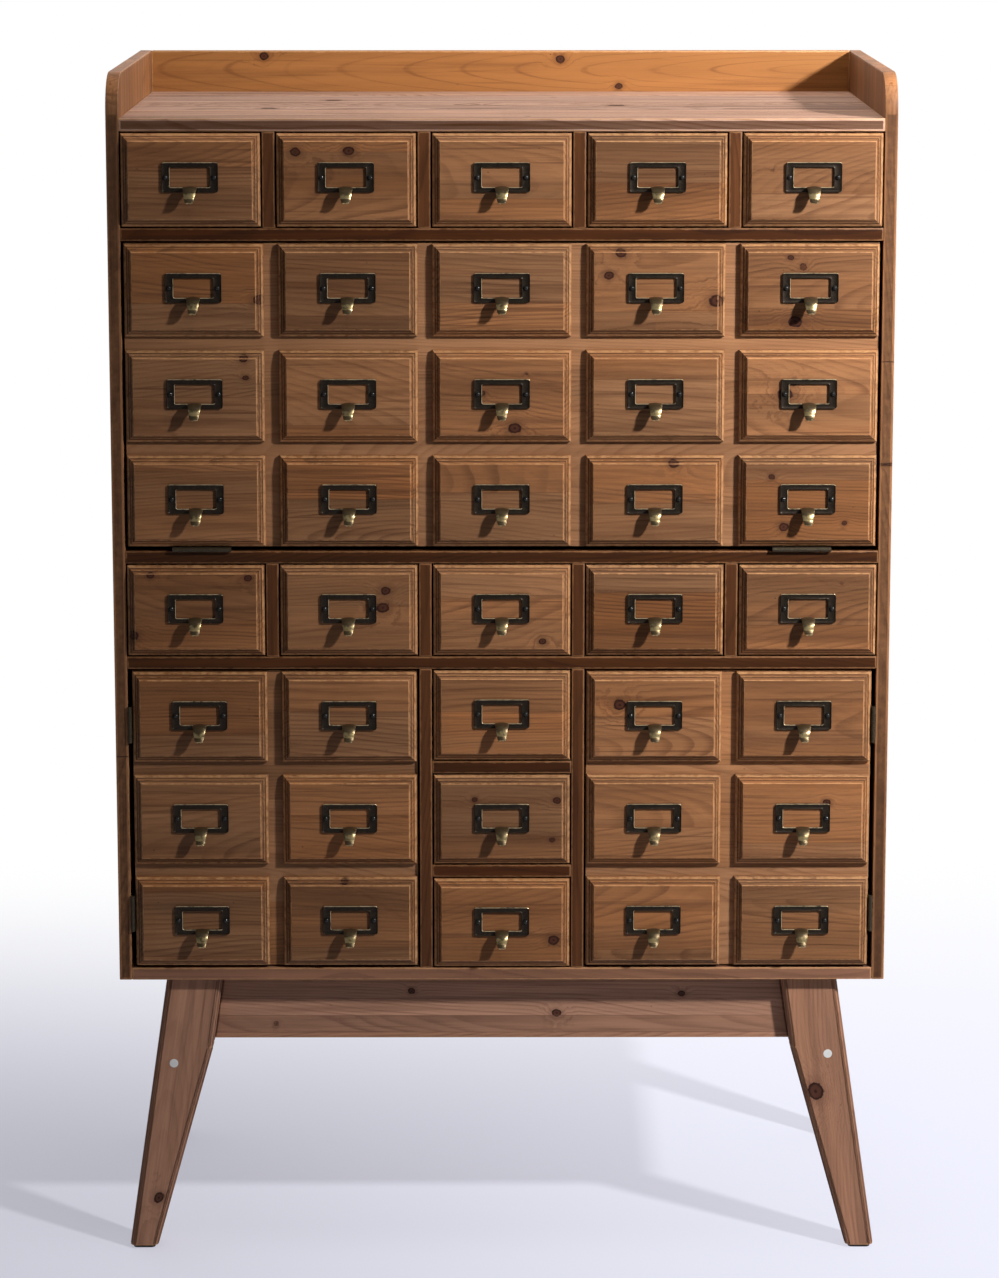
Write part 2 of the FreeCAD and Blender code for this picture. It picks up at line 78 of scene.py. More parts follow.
class Pick(Enum):
    """What an edit works on."""

    VERTICES = (True, False, False)
    EDGES = (False, True, False)
    FACES = (False, False, True)


class Slot(Enum):
    """The material slots of the record, which modelled pieces name when they are put on their bodies; nothing
    reads them.
    """

    CASE = "case_wood"
    FRONT = "front_wood"
    DRAWER = "drawer_wood"
    LEG = "leg_wood"
    BACK = "back_wood"
    PULL = "pull_bronze"
    PAD = "pad_plastic"


@dataclass(frozen=True)
class Block:
    """An upright box in the object's frame."""

    lo: Vector
    hi: Vector

    @classmethod
    def of_node(cls, node: str) -> "Block":
        """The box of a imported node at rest."""
        return cls(*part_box(node))

    @property
    def size(self) -> Vector:
        """The box's three lengths."""
        return self.hi - self.lo

    @property
    def centre(self) -> Vector:
        """The middle of the box."""
        return (self.lo + self.hi) / 2

    def cut(self, **sides: float) -> "Block":
        """Moves some sides of the box.

        Args:
            sides: new places, named x0, x1, y0, y1, z0 or z1.

        Returns:
            The box with those sides moved.
        """
        lo, hi = self.lo.copy(), self.hi.copy()
        for side, place in sides.items():
            corner = lo if side[1] == "0" else hi
            corner["xyz".index(side[0])] = place
        return Block(lo, hi)


CORNER_DIGITS = 6  # to which corners of one solid agree, in metres
ROW_DIGITS = 3  # to which the heights of one row agree, in metres


def solids_of(node: str) -> list[Block]:
    """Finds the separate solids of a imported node.

    Args:
        node: the node's name.

    Returns:
        The box of each solid, from the top row down and from left to right.
    """
    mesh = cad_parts[node].data
    leader: dict[tuple, tuple] = {}

    def find(key: tuple) -> tuple:
        """Follows a corner to the first corner of its solid."""
        while leader[key] != key:
            leader[key] = leader[leader[key]]
            key = leader[key]
        return key

    keys = [tuple(round(c, CORNER_DIGITS) for c in vertex.co) for vertex in mesh.vertices]
    for key in keys:
        leader.setdefault(key, key)
    for polygon in mesh.polygons:
        first = find(keys[polygon.vertices[0]])
        for index in polygon.vertices[1:]:
            leader[find(keys[index])] = first
    groups: dict[tuple, list[tuple]] = {}
    for key in leader:
        groups.setdefault(find(key), []).append(key)
    blocks = []
    for points in groups.values():
        corners = np.array(points)
        blocks.append(Block(Vector(corners.min(0)), Vector(corners.max(0))))
    return sorted(blocks, key=lambda block: (-round(block.centre.z, ROW_DIGITS), block.centre.x))


class Bench:
    """The operator steps that pieces are modelled with. Each ends in object mode."""

    SHARP_ANGLE = math.radians(35)
    UPRIGHT = (math.pi / 2, 0.0, 0.0)

    @staticmethod
    def hold(*objects: Object) -> None:
        """Selects only these objects and makes the first one active."""
        bpy.ops.object.select_all(action="DESELECT")
        for obj in objects:
            obj.select_set(True)
        bpy.context.view_layer.objects.active = objects[0]

    @staticmethod
    def settle(name: str) -> Object:
        """Applies the place of the primitive that was just added.

        Args:
            name: what the piece is called.

        Returns:
            The piece, with its object at the origin.
        """
        bpy.ops.object.transform_apply(location=True, rotation=True, scale=True)
        obj = bpy.context.active_object
        obj.name = name
        obj.data.name = name
        return obj

    @staticmethod
    def block(name: str, space: Block) -> Object:
        """Adds a cube stretched to a box.

        Args:
            name: what the piece is called.
            space: the box that it fills.

        Returns:
            The new piece.
        """
        bpy.ops.object.select_all(action="DESELECT")
        bpy.ops.mesh.primitive_cube_add(size=1.0, location=space.centre, scale=space.size)
        return Bench.settle(name)

    @staticmethod
    def front_plane(name: str, width: float, height: float, place: Vector) -> Object:
        """Adds an upright rectangle that faces the front.

        Args:
            name: what the piece is called.
            width: its length along X.
            height: its length along Z.
            place: its middle.

        Returns:
            The new piece.
        """
        bpy.ops.object.select_all(action="DESELECT")
        bpy.ops.mesh.primitive_plane_add(size=1.0, location=place, rotation=Bench.UPRIGHT)
        bpy.context.active_object.scale = (width, height, 1.0)
        return Bench.settle(name)

    @staticmethod
    @contextmanager
    def editing(obj: Object, pick: Pick = Pick.FACES, everything: bool = False) -> Iterator[None]:
        """Opens a piece in edit mode, with what was selected in it.

        Args:
            obj: the piece.
            pick: what the edit works on.
            everything: whether to select the whole piece first.
        """
        Bench.hold(obj)
        bpy.context.tool_settings.mesh_select_mode = pick.value
        bpy.ops.object.mode_set(mode="EDIT")
        if everything:
            bpy.ops.mesh.select_all(action="SELECT")
        yield
        bpy.ops.object.mode_set(mode="OBJECT")

    @staticmethod
    def choose(obj: Object, pick: Pick, wanted: Callable[[Vector, Vector], bool]) -> None:
        """Selects the parts of a mesh that a test accepts, and no others.

        Args:
            obj: the piece.
            pick: whether to test vertices, edges or faces.
            wanted: a test of a vertex's place and normal, an edge's two ends, or a face's centre and normal.
        """
        mesh = obj.data
        for parts in (mesh.vertices, mesh.edges, mesh.polygons):
            parts.foreach_set("select", np.zeros(len(parts), dtype=bool))
        if pick is Pick.VERTICES:
            for vertex in mesh.vertices:
                vertex.select = wanted(vertex.co, vertex.normal)
        elif pick is Pick.EDGES:
            for edge in mesh.edges:
                a, b = (mesh.vertices[index].co for index in edge.vertices)
                edge.select = wanted(a, b)
        else:
            for polygon in mesh.polygons:
                polygon.select = wanted(polygon.center, polygon.normal)

    @staticmethod
    def round_edges(obj: Object, width: float, segments: int = 2) -> None:
        """Rounds every sharp edge of a piece.

        Args:
            obj: the piece.
            width: how far the rounding reaches from the edge.
            segments: how many facets it has.
        """
        Bench.hold(obj)
        bevel = obj.modifiers.new("rounding", "BEVEL")
        bevel.width = width
        bevel.segments = segments
        bevel.limit_method = "ANGLE"
        bevel.angle_limit = Bench.SHARP_ANGLE
        bpy.ops.object.modifier_apply(modifier=bevel.name)

    @staticmethod
    def smooth(obj: Object, degrees: float = 40.0) -> None:
        """Shades a piece smooth across edges that turn by less than an angle."""
        Bench.hold(obj)
        bpy.ops.object.shade_smooth_by_angle(angle=math.radians(degrees))

    @staticmethod
    def join(*objects: Object) -> Object:
        """Joins pieces into the first one and returns it."""
        Bench.hold(*objects)
        bpy.ops.object.join()
        return objects[0]

    @staticmethod
    def copy(master: Object, name: str, shift: Vector) -> Object:
        """Copies a finished piece with a mesh of its own.

        Args:
            master: the piece that is copied.
            name: what the copy is called.
            shift: how far the copy's mesh is moved.

        Returns:
            The copy.
        """
        obj = master.copy()
        obj.data = master.data.copy()
        obj.name = name
        obj.data.name = name
        obj.data.transform(Matrix.Translation(shift))
        bpy.context.scene.collection.objects.link(obj)
        return obj


@dataclass(frozen=True)
class Knot:
    """A knot in a board, measured from the board's centre in millimetres."""

    along: float
    across: float
    radius: float

    @property
    def value(self) -> Triple:
        """The knot's place and radius in metres."""
        return self.along * MM, self.across * MM, self.radius * MM


class Marks:
    """Values that pieces carry on their vertices for the finishes to read."""

    BOARD = "board"
    SEED = "seed"
    # Worn edges where high; negative values paint shade on front faces and moulding ledges, and on the pulls
    # high values also paint highlights.
    WEAR = "wear"
    KNOTS = ("knot_a", "knot_b", "knot_c")
    CURVE_FACET = 2 * MM  # the least width of a facet on a curved corner
    CURVE_WEAR = 0.3

    @staticmethod
    def points(obj: Object) -> np.ndarray:
        """The places of a piece's vertices, one row each."""
        places = np.zeros(len(obj.data.vertices) * 3, np.float32)
        obj.data.vertices.foreach_get("co", places)
        return places.reshape(-1, 3)

    @staticmethod
    def write(obj: Object, name: str, values: np.ndarray) -> None:
        """Writes a number or a vector to each vertex.

        Args:
            obj: the piece.
            name: the attribute's name.
            values: one value or one row of three for each vertex.
        """
        is_vector = values.ndim == 2
        kind = "FLOAT_VECTOR" if is_vector else "FLOAT"
        attributes = obj.data.attributes
        layer = attributes.get(name) or attributes.new(name, kind, "POINT")
        layer.data.foreach_set("vector" if is_vector else "value", values.astype(np.float32).ravel())

    @staticmethod
    def same(obj: Object, name: str, value: Sequence[float]) -> None:
        """Writes one vector to all vertices of a piece."""
        Marks.write(obj, name, np.tile(np.array(value), (len(obj.data.vertices), 1)))

    @staticmethod
    def board(obj: Object, space: Block, grain: Grain, lean: float = 0.0) -> None:
        """Writes where each vertex lies in its board: along, across and through the grain.

        Args:
            obj: the piece.
            space: the box of the board.
            grain: the axis that the grain runs along.
            lean: how far the board slants across its grain for each metre along it.
        """
        others = [axis for axis in range(3) if axis != grain.value]
        others.sort(key=lambda axis: -space.size[axis])
        places = Marks.points(obj) - np.array(space.centre)
        along = places[:, grain.value]
        across = places[:, others[0]] - lean * along
        Marks.write(obj, Marks.BOARD, np.stack([along, across, places[:, others[1]]], axis=1))

    @staticmethod
    def seed(obj: Object, name: str) -> None:
        """Gives a board its own random numbers, drawn from its name."""
        draw = random.Random(name)
        Marks.same(obj, Marks.SEED, [draw.random() for _ in range(3)])

    @staticmethod
    def knots(obj: Object, knots: tuple[Knot, ...]) -> None:
        """Writes the places of a board's knots."""
        for layer, knot in zip(Marks.KNOTS, knots):
            Marks.same(obj, layer, knot.value)

    @staticmethod
    def wear_and_front_shade_from_faces(obj: Object, dark_front: float) -> None:
        """Marks the selected faces as flat and all other vertices as worn edge, and paints shade on the faces
        that look to the front.

        Args:
            obj: the piece.
            dark_front: how much painted shade darkens the faces that look to the front, from 0 to 1.
        """
        mesh = obj.data
        wear = np.ones(len(mesh.vertices))
        for polygon in mesh.polygons:
            longest = max((mesh.vertices[a].co - mesh.vertices[b].co).length for a, b in polygon.edge_keys)
            is_curved = not polygon.select and polygon.area > Marks.CURVE_FACET * longest
            if polygon.select or is_curved:
                flat = Marks.CURVE_WEAR if is_curved else 0.0
                # Faces that look to the front get negative wear, which lays painted shade on them through the
                # dark soil-and-shade colour.
                wear[list(polygon.vertices)] = flat - dark_front * max(-polygon.normal.y, 0.0)
        Marks.write(obj, Marks.WEAR, wear)


@dataclass(frozen=True)
class Texture:
    """The make-up of a noise: how often it repeats in a metre each way, its detail and its shift."""

    repeats: Triple
    detail: float = 2.0
    rough: float = 0.5
    shift: Triple = (0.0, 0.0, 0.0)


class Graph:
    """Adds and links the nodes of one shader tree."""

    MIX_INPUTS = (0, 6, 7)  # the share and the two colours of a colour mix
    MIX_OUTPUT = 2

    def __init__(self, tree: NodeTree) -> None:
        """Takes the tree that nodes are added to."""
        self.tree = tree

    def node(self, kind: str, **settings: object) -> Node:
        """Adds a node and sets its properties.

        Args:
            kind: the node's type.
            settings: values of its properties.

        Returns:
            The node.
        """
        node = self.tree.nodes.new(kind)
        for name, value in settings.items():
            setattr(node, name, value)
        return node

    def feed(self, socket: NodeSocket, source: Source) -> None:
        """Links a socket to another one, or sets its value."""
        if isinstance(source, NodeSocket):
            self.tree.links.new(source, socket)
        else:
            socket.default_value = source

    def math(self, operation: str, *sources: Source) -> NodeSocket:
        """Works out a number from up to three others."""
        node = self.node("ShaderNodeMath", operation=operation)
        for socket, source in zip(node.inputs, sources):
            self.feed(socket, source)
        return node.outputs[0]

    def vector(self, operation: str, *sources: Source) -> NodeSocket:
        """Works out a vector from up to three others."""
        node = self.node("ShaderNodeVectorMath", operation=operation)
        for socket, source in zip(node.inputs, sources):
            self.feed(socket, source)
        return node.outputs[0]

    def split(self, source: Source) -> tuple[NodeSocket, ...]:
        """The three parts of a vector or colour."""
        node = self.node("ShaderNodeSeparateXYZ")
        self.feed(node.inputs[0], source)
        return tuple(node.outputs)

    def merge(self, *sources: Source) -> NodeSocket:
        """A vector of three numbers."""
        node = self.node("ShaderNodeCombineXYZ")
        for socket, source in zip(node.inputs, sources):
            self.feed(socket, source)
        return node.outputs[0]

    def noise(self, place: Source, detail: float, rough: float) -> NodeSocket:
        """Smooth noise between 0 and 1 at a place that is already scaled."""
        node = self.node("ShaderNodeTexNoise")
        for label, source in (("Vector", place), ("Scale", 1.0), ("Detail", detail), ("Roughness", rough)):
            self.feed(node.inputs[label], source)
        return node.outputs[0]

    def texture(self, place: Source, texture: Texture) -> NodeSocket:
        """A texture's noise at a place in metres."""
        scaled = self.vector("MULTIPLY_ADD", place, texture.repeats, texture.shift)
        return self.noise(scaled, texture.detail, texture.rough)

    def about_zero(self, draw: Source, spread: float) -> NodeSocket:
        """Turns a draw between 0 and 1 into a number spread about 0."""
        return self.math("MULTIPLY_ADD", draw, spread, -spread / 2)

    def span(self, a: Source, b: Source) -> NodeSocket:
        """The length of the line that joins two points a apart one way and b apart the other way."""
        squares = (self.math("MULTIPLY", side, side) for side in (a, b))
        return self.math("SQRT", self.math("ADD", *squares))

    def ramp(
        self, value: Source, low: Source, high: Source, start: Source = 0.0, end: Source = 1.0
    ) -> NodeSocket:
        """A smooth step.

        Args:
            value: the number that is stepped.
            low: where the step begins.
            high: where the step ends.
            start: the result below the step.
            end: the result above the step.

        Returns:
            The socket of the result.
        """
        node = self.node("ShaderNodeMapRange", interpolation_type="SMOOTHSTEP")
        for socket, source in zip(node.inputs, (value, low, high, start, end)):
            self.feed(socket, source)
        return node.outputs[0]

    def mix(self, share: Source, a: Source, b: Source, blend: str = "MIX") -> NodeSocket:
        """Mixes two colours."""
        node = self.node("ShaderNodeMix", data_type="RGBA", blend_type=blend)
        for index, source in zip(Graph.MIX_INPUTS, (share, a, b)):
            self.feed(node.inputs[index], source)
        return node.outputs[Graph.MIX_OUTPUT]

    def stain(
        self, color: Source, *stains: tuple[NodeSocket, float, Color]
    ) -> NodeSocket:
        """Lays stains over a colour, one after another.

        Args:
            color: what is stained.
            stains: the mask, the strength and the colour of each stain.

        Returns:
            The socket of the stained colour.
        """
        for mask, share, tint in stains:
            color = self.mix(self.math("MULTIPLY", mask, share), color, tint)
        return color

    def bump(self, height: Source, strength: float, distance: float) -> NodeSocket:
        """Normals that are roughened by a height."""
        node = self.node("ShaderNodeBump")
        for label, source in (("Strength", strength), ("Distance", distance), ("Height", height)):
            self.feed(node.inputs[label], source)
        return node.outputs[0]

    def attribute(self, name: str) -> Node:
        """Reads a value that the piece carries on its vertices."""
        return self.node("ShaderNodeAttribute", attribute_name=name)

    def place(self, effect: NodeTree, **sources: Source) -> dict[str, NodeSocket]:
        """Places a shared effect.

        Args:
            effect: the node group.
            sources: what feeds its inputs, with _ for a space in their names.

        Returns:
            Its outputs by name.
        """
        node = self.node("ShaderNodeGroup", node_tree=effect)
        for name, source in sources.items():
            self.feed(node.inputs[name.replace("_", " ")], source)
        return {socket.name: socket for socket in node.outputs}


FLOAT, VECTOR = "NodeSocketFloat", "NodeSocketVector"


class Effect(Graph):
    """A shader node group with named inputs and outputs."""

    def __init__(self, name: str, inputs: dict[str, str], outputs: dict[str, str]) -> None:
        """Makes an empty group.

        Args:
            name: what the group is called.
            inputs: the type of each input by name.
            outputs: the type of each output by name.
        """
        super().__init__(bpy.data.node_groups.new(name, "ShaderNodeTree"))
        for label, kind in inputs.items():
            self.tree.interface.new_socket(label, in_out="INPUT", socket_type=kind)
        for label, kind in outputs.items():
            self.tree.interface.new_socket(label, in_out="OUTPUT", socket_type=kind)
        self.given = self.node("NodeGroupInput").outputs
        self.result = self.node("NodeGroupOutput").inputs

    def put_out(self, **sources: Source) -> NodeTree:
        """Feeds the group's outputs.

        Args:
            sources: what feeds each output.

        Returns:
            The finished group.
        """
        for label, source in sources.items():
            self.feed(self.result[label], source)
        return self.tree


SEED_SCATTER = (13.0, 57.0, 91.0)  # makes small differences between seeds large
STRIP_SCATTER = 20.0  # how far apart in the tree strips may come from, in metres
GLUE_LINE = 0.7 * MM


def glued_strips() -> NodeTree:
    """Splits a board into glued strips, each cut from another place in a tree.

    Returns:
        A group that puts out a place in the wood, three random numbers and the glue lines.
    """
    effect = Effect(
        "glued_strips",
        {"Board": VECTOR, "Seed": VECTOR, "Strip Width": FLOAT},
        {"Spot": VECTOR, "Draw": VECTOR, "Seam": FLOAT},
    )
    width = effect.given["Strip Width"]
    _, across, _ = effect.split(effect.given["Board"])
    start, second, third = effect.split(effect.vector("MULTIPLY", effect.given["Seed"], SEED_SCATTER))
    count = effect.math("ADD", effect.math("DIVIDE", across, width), start)
    chance = effect.node("ShaderNodeTexWhiteNoise", noise_dimensions="3D")
    effect.feed(chance.inputs["Vector"], effect.merge(effect.math("FLOOR", count), second, third))
    draw = chance.outputs["Color"]
    far = effect.vector("MULTIPLY", draw, 3 * (STRIP_SCATTER,))
    share = effect.math("FRACT", count)
    near_edge = effect.math("MINIMUM", share, effect.math("SUBTRACT", 1.0, share))
    gap = effect.math("MULTIPLY", near_edge, width)
    seam = effect.ramp(gap, 0.0, GLUE_LINE, 1.0, 0.0)
    return effect.put_out(Spot=effect.vector("ADD", effect.given["Board"], far), Draw=draw, Seam=seam)


KNOT_WOBBLE = Texture((160.0, 160.0, 160.0))
KNOT_UNEVEN = (0.55, 0.9)  # the least factor on a distance, and how much the wobble adds
KNOT_STRETCH = 0.8
KNOT_CELL = 150.0 * MM
CHANCE_KNOT = (1.6 * MM, 4.0 * MM)  # the least radius, and how much the draw adds
LEAST_RADIUS = 0.01 * MM
RING_FALL, RING_LIFT = -0.16, 1.9  # how rings bend round a knot
# Steps in shares of a knot's radius
KNOT_EDGE: Range = (0.88, 1.0)
KNOT_RIM: Range = (0.5, 0.8)
KNOT_PITH: Range = (0.08, 0.28)
KNOT_HALO: Range = (0.9, 2.4)


def chance_cells(effect: Effect, cell: float) -> tuple[NodeSocket, ...]:
    """Scatters points over a board.

    Args:
        effect: the group, with the inputs Spot and Rate.
        cell: how far apart the points are.

    Returns:
        How far the nearest point is in cells, 1 if it is kept at the rate, and a random number.
    """
    chance = effect.node("ShaderNodeTexVoronoi", voronoi_dimensions="2D")
    effect.feed(chance.inputs["Vector"], effect.given["Spot"])
    effect.feed(chance.inputs["Scale"], 1.0 / cell)
    drawn, wide, _ = effect.split(chance.outputs["Color"])
    return chance.outputs["Distance"], effect.math("LESS_THAN", drawn, effect.given["Rate"]), wide


def wood_knots() -> NodeTree:
    """Finds the knots of a board: up to three placed ones, and chance ones at a rate.

    Returns:
        A group that puts out how far the rings are pushed aside, the knots, their rims and the wood
        round them.
    """
    effect = Effect(
        "wood_knots",
        {"Board": VECTOR, "Spot": VECTOR, "Rate": FLOAT, "First": VECTOR, "Second": VECTOR, "Third": VECTOR},
        {"Lift": FLOAT, "Core": FLOAT, "Rim": FLOAT, "Halo": FLOAT},
    )
    along, across, _ = effect.split(effect.given["Board"])
    least, more = KNOT_UNEVEN
    uneven = effect.math("MULTIPLY_ADD", effect.texture(effect.given["Spot"], KNOT_WOBBLE), more, least)
    found: list[tuple[NodeSocket, NodeSocket]] = []
    for name in ("First", "Second", "Third"):
        knot_along, knot_across, radius = effect.split(effect.given[name])
        run = effect.math("MULTIPLY", effect.math("SUBTRACT", along, knot_along), KNOT_STRETCH)
        rise = effect.math("SUBTRACT", across, knot_across)
        found.append((effect.span(run, rise), radius))
    far, kept, wide = chance_cells(effect, KNOT_CELL)
    least, more = CHANCE_KNOT
    radius = effect.math("MULTIPLY_ADD", effect.math("POWER", wide, 2.0), more, least)
    found.append((effect.math("MULTIPLY", far, KNOT_CELL), effect.math("MULTIPLY", radius, kept)))
    totals: dict[str, Source] = {"Lift": 0.0, "Core": 0.0, "Rim": 0.0, "Halo": 0.0}
    for span, radius in found:
        safe = effect.math("MAXIMUM", radius, LEAST_RADIUS)
        ratio = effect.math("MULTIPLY", effect.math("DIVIDE", span, safe), uneven)
        fall = effect.math("EXPONENT", effect.math("MULTIPLY", effect.math("POWER", ratio, 2.0), RING_FALL))
        lift = effect.math("MULTIPLY", fall, radius)
        totals["Lift"] = effect.math("MULTIPLY_ADD", lift, RING_LIFT, totals["Lift"])
        inside = effect.ramp(ratio, *KNOT_EDGE, 1.0, 0.0)
        edge = effect.math("MULTIPLY", inside, effect.ramp(ratio, *KNOT_RIM))
        rim = effect.math("MAXIMUM", edge, effect.ramp(ratio, *KNOT_PITH, 1.0, 0.0))
        halo = effect.ramp(ratio, *KNOT_HALO, 1.0, 0.0)
        for label, mask in (("Core", inside), ("Rim", rim), ("Halo", halo)):
            totals[label] = effect.math("MAXIMUM", mask, totals[label])
    return effect.put_out(**totals)


RING_TEXTURE = Texture((3.0, 9.0, 9.0), 2.0, 0.45)
FIBRE_TEXTURE = Texture((16.0, 620.0, 620.0), 3.0, 0.62)
STAIN_TEXTURE = Texture((1.8, 30.0, 30.0), 3.0, 0.55)
BLUSH_TEXTURE = Texture((1.4, 19.0, 19.0), 2.0, 0.5, (7.0, 5.0, 3.0))
BAND_TEXTURE = Texture((3.0, 75.0, 75.0), 3.0, 0.6)
LINE_TEXTURE = Texture((5.0, 240.0, 240.0), 1.0, 0.5)
BAND_STEP: Range = (0.46, 0.74)
LINE_STEP: Range = (0.60, 0.72)
LINE_DEPTH = 0.9
PITH_ASIDE, PITH_SLANT = 0.24, 0.36
PITH_UNDER = (0.02, 0.09)  # the least depth of the pith, and how much the draw adds
LATEWOOD_PEAK = 0.90
RING_SCATTER = 100.0
FAINTEST_RING = 0.25


def growth_rings() -> NodeTree:
    """Draws the year rings of softwood about a pith that slants through the tree.

    Returns:
        A group that puts out the dark latewood, the fine fibre, the slow changes of stain and hue, and
        dark streaks.
    """
    effect = Effect(
        "growth_rings",
        {
            "Board": VECTOR,
            "Spot": VECTOR,
            "Draw": VECTOR,
            "Lift": FLOAT,
            "Ring Width": FLOAT,
            "Onset": FLOAT,
            "Wander": FLOAT,
        },
        {"Latewood": FLOAT, "Fibre": FLOAT, "Stain": FLOAT, "Blush": FLOAT, "Streak": FLOAT},
    )
    spot = effect.given["Spot"]
    along, across, through = effect.split(effect.given["Board"])
    side, slant, depth = effect.split(effect.given["Draw"])
    wander = effect.texture(spot, RING_TEXTURE)
    aside = effect.math("SUBTRACT", across, effect.about_zero(side, PITH_ASIDE))
    tilt = effect.math("MULTIPLY", along, effect.about_zero(slant, PITH_SLANT))
    least, more = PITH_UNDER
    under = effect.math("MULTIPLY_ADD", depth, more, least)
    below = effect.math("ADD", effect.math("ADD", through, tilt), under)
    span = effect.math("MULTIPLY_ADD", wander, effect.given["Wander"], effect.span(aside, below))
    years = effect.math("DIVIDE", effect.math("ADD", span, effect.given["Lift"]), effect.given["Ring Width"])
    season = effect.math("FRACT", years)
    rising = effect.ramp(season, effect.given["Onset"], LATEWOOD_PEAK)
    dark = effect.math("MULTIPLY", rising, effect.ramp(season, LATEWOOD_PEAK, 1.0, 1.0, 0.0))
    chance = effect.node("ShaderNodeTexWhiteNoise", noise_dimensions="1D")
    year = effect.math("FLOOR", years)
    effect.feed(chance.inputs["W"], effect.math("MULTIPLY_ADD", side, RING_SCATTER, year))
    strength = effect.math("MULTIPLY_ADD", chance.outputs["Value"], 1.0 - FAINTEST_RING, FAINTEST_RING)
    bands = effect.ramp(effect.texture(spot, BAND_TEXTURE), *BAND_STEP)
    lines = effect.ramp(effect.texture(spot, LINE_TEXTURE), *LINE_STEP, 0.0, LINE_DEPTH)
    return effect.put_out(
        Latewood=effect.math("MULTIPLY", dark, strength),
        Fibre=effect.texture(spot, FIBRE_TEXTURE),
        Stain=effect.texture(spot, STAIN_TEXTURE),
        Blush=effect.texture(spot, BLUSH_TEXTURE),
        Streak=effect.math("MAXIMUM", bands, lines),
    )


WEAR_DETAIL, WEAR_ROUGH = 3.0, 0.6
# The soil bound also bounds the painted shade.
RAGGED, SMUDGED = 1.7, -0.5  # how far the patches move the bounds of wear and of soil
WORN_STEP: Range = (0.45, 1.05)
SOIL_AND_SHADE_STEP: Range = (-0.85, -0.1)


def edge_wear() -> NodeTree:
    """Breaks up the marks of worn edges and painted highlights, and of light dirt and painted shade.

    Returns:
        A group that puts out the worn and highlighted places, and the places darkened by dirt and painted
        shade.
    """
    effect = Effect(
        "edge_wear",
        {"Wear": FLOAT, "Spot": VECTOR, "Grain Size": FLOAT},
        {"Worn": FLOAT, "Soiled": FLOAT},
    )
    wear = effect.given["Wear"]
    scale = effect.math("DIVIDE", 1.0, effect.given["Grain Size"])
    place = effect.node("ShaderNodeVectorMath", operation="SCALE")
    effect.feed(place.inputs[0], effect.given["Spot"])
    effect.feed(place.inputs["Scale"], scale)
    patch = effect.math("SUBTRACT", effect.noise(place.outputs[0], WEAR_DETAIL, WEAR_ROUGH), 0.5)
    ragged = effect.math("MULTIPLY_ADD", patch, RAGGED, wear)
    smudge = effect.math("MULTIPLY_ADD", patch, SMUDGED, wear)
    soil_and_shade_mask = effect.ramp(smudge, *SOIL_AND_SHADE_STEP, 1.0, 0.0)
    return effect.put_out(Worn=effect.ramp(ragged, *WORN_STEP), Soiled=soil_and_shade_mask)


PIT_CELL = 26.0 * MM
PIT_REACH = (0.02, 0.02)  # the least radius in cells, and how much the draw adds
PIT_FLOOR = 0.5  # the share of a pit's radius that is fully dark


def wood_pits() -> NodeTree:
    """Scatters small nail holes and chips.

    Returns:
        A group that puts out the pits.
    """
    effect = Effect("wood_pits", {"Spot": VECTOR, "Rate": FLOAT}, {"Pit": FLOAT})
    far, kept, wide = chance_cells(effect, PIT_CELL)
    least, more = PIT_REACH
    reach = effect.math("MULTIPLY_ADD", wide, more, least)
    pit = effect.ramp(far, effect.math("MULTIPLY", reach, PIT_FLOOR), reach, 1.0, 0.0)
    return effect.put_out(Pit=effect.math("MULTIPLY", pit, kept))


PATINA_SCATTER = 9.0
CLOUD_TEXTURE = Texture((150.0, 150.0, 150.0), 3.0, 0.6)
SPECK_TEXTURE = Texture((900.0, 900.0, 900.0), 2.0, 0.6)
SPECK_STEP: Range = (0.45, 0.75)


def metal_patina() -> NodeTree:
    """Clouds and specks of age on metal.

    Returns:
        A group that puts out clouds and specks at a place.
    """
    effect = Effect("metal_patina", {"Place": VECTOR, "Seed": VECTOR}, {"Cloud": FLOAT, "Speck": FLOAT})
    far = effect.vector("MULTIPLY", effect.given["Seed"], 3 * (PATINA_SCATTER,))
    place = effect.vector("ADD", effect.given["Place"], far)
    speck = effect.ramp(effect.texture(place, SPECK_TEXTURE), *SPECK_STEP)
    return effect.put_out(Cloud=effect.texture(place, CLOUD_TEXTURE), Speck=speck)


@dataclass(frozen=True)
class Effects:
    """The shared node groups, each built once."""

    strips: NodeTree = field(default_factory=glued_strips)
    knots: NodeTree = field(default_factory=wood_knots)
    rings: NodeTree = field(default_factory=growth_rings)
    wear: NodeTree = field(default_factory=edge_wear)
    pits: NodeTree = field(default_factory=wood_pits)
    patina: NodeTree = field(default_factory=metal_patina)


def new_material(name: str) -> tuple[Material, Graph, Node]:
    """Starts a material.

    Args:
        name: what the finish is called.

    Returns:
        The material, its graph and its shader.
    """
    material = bpy.data.materials.new(name)
    material.use_nodes = True
    graph = Graph(material.node_tree)
    return material, graph, material.node_tree.nodes["Principled BSDF"]


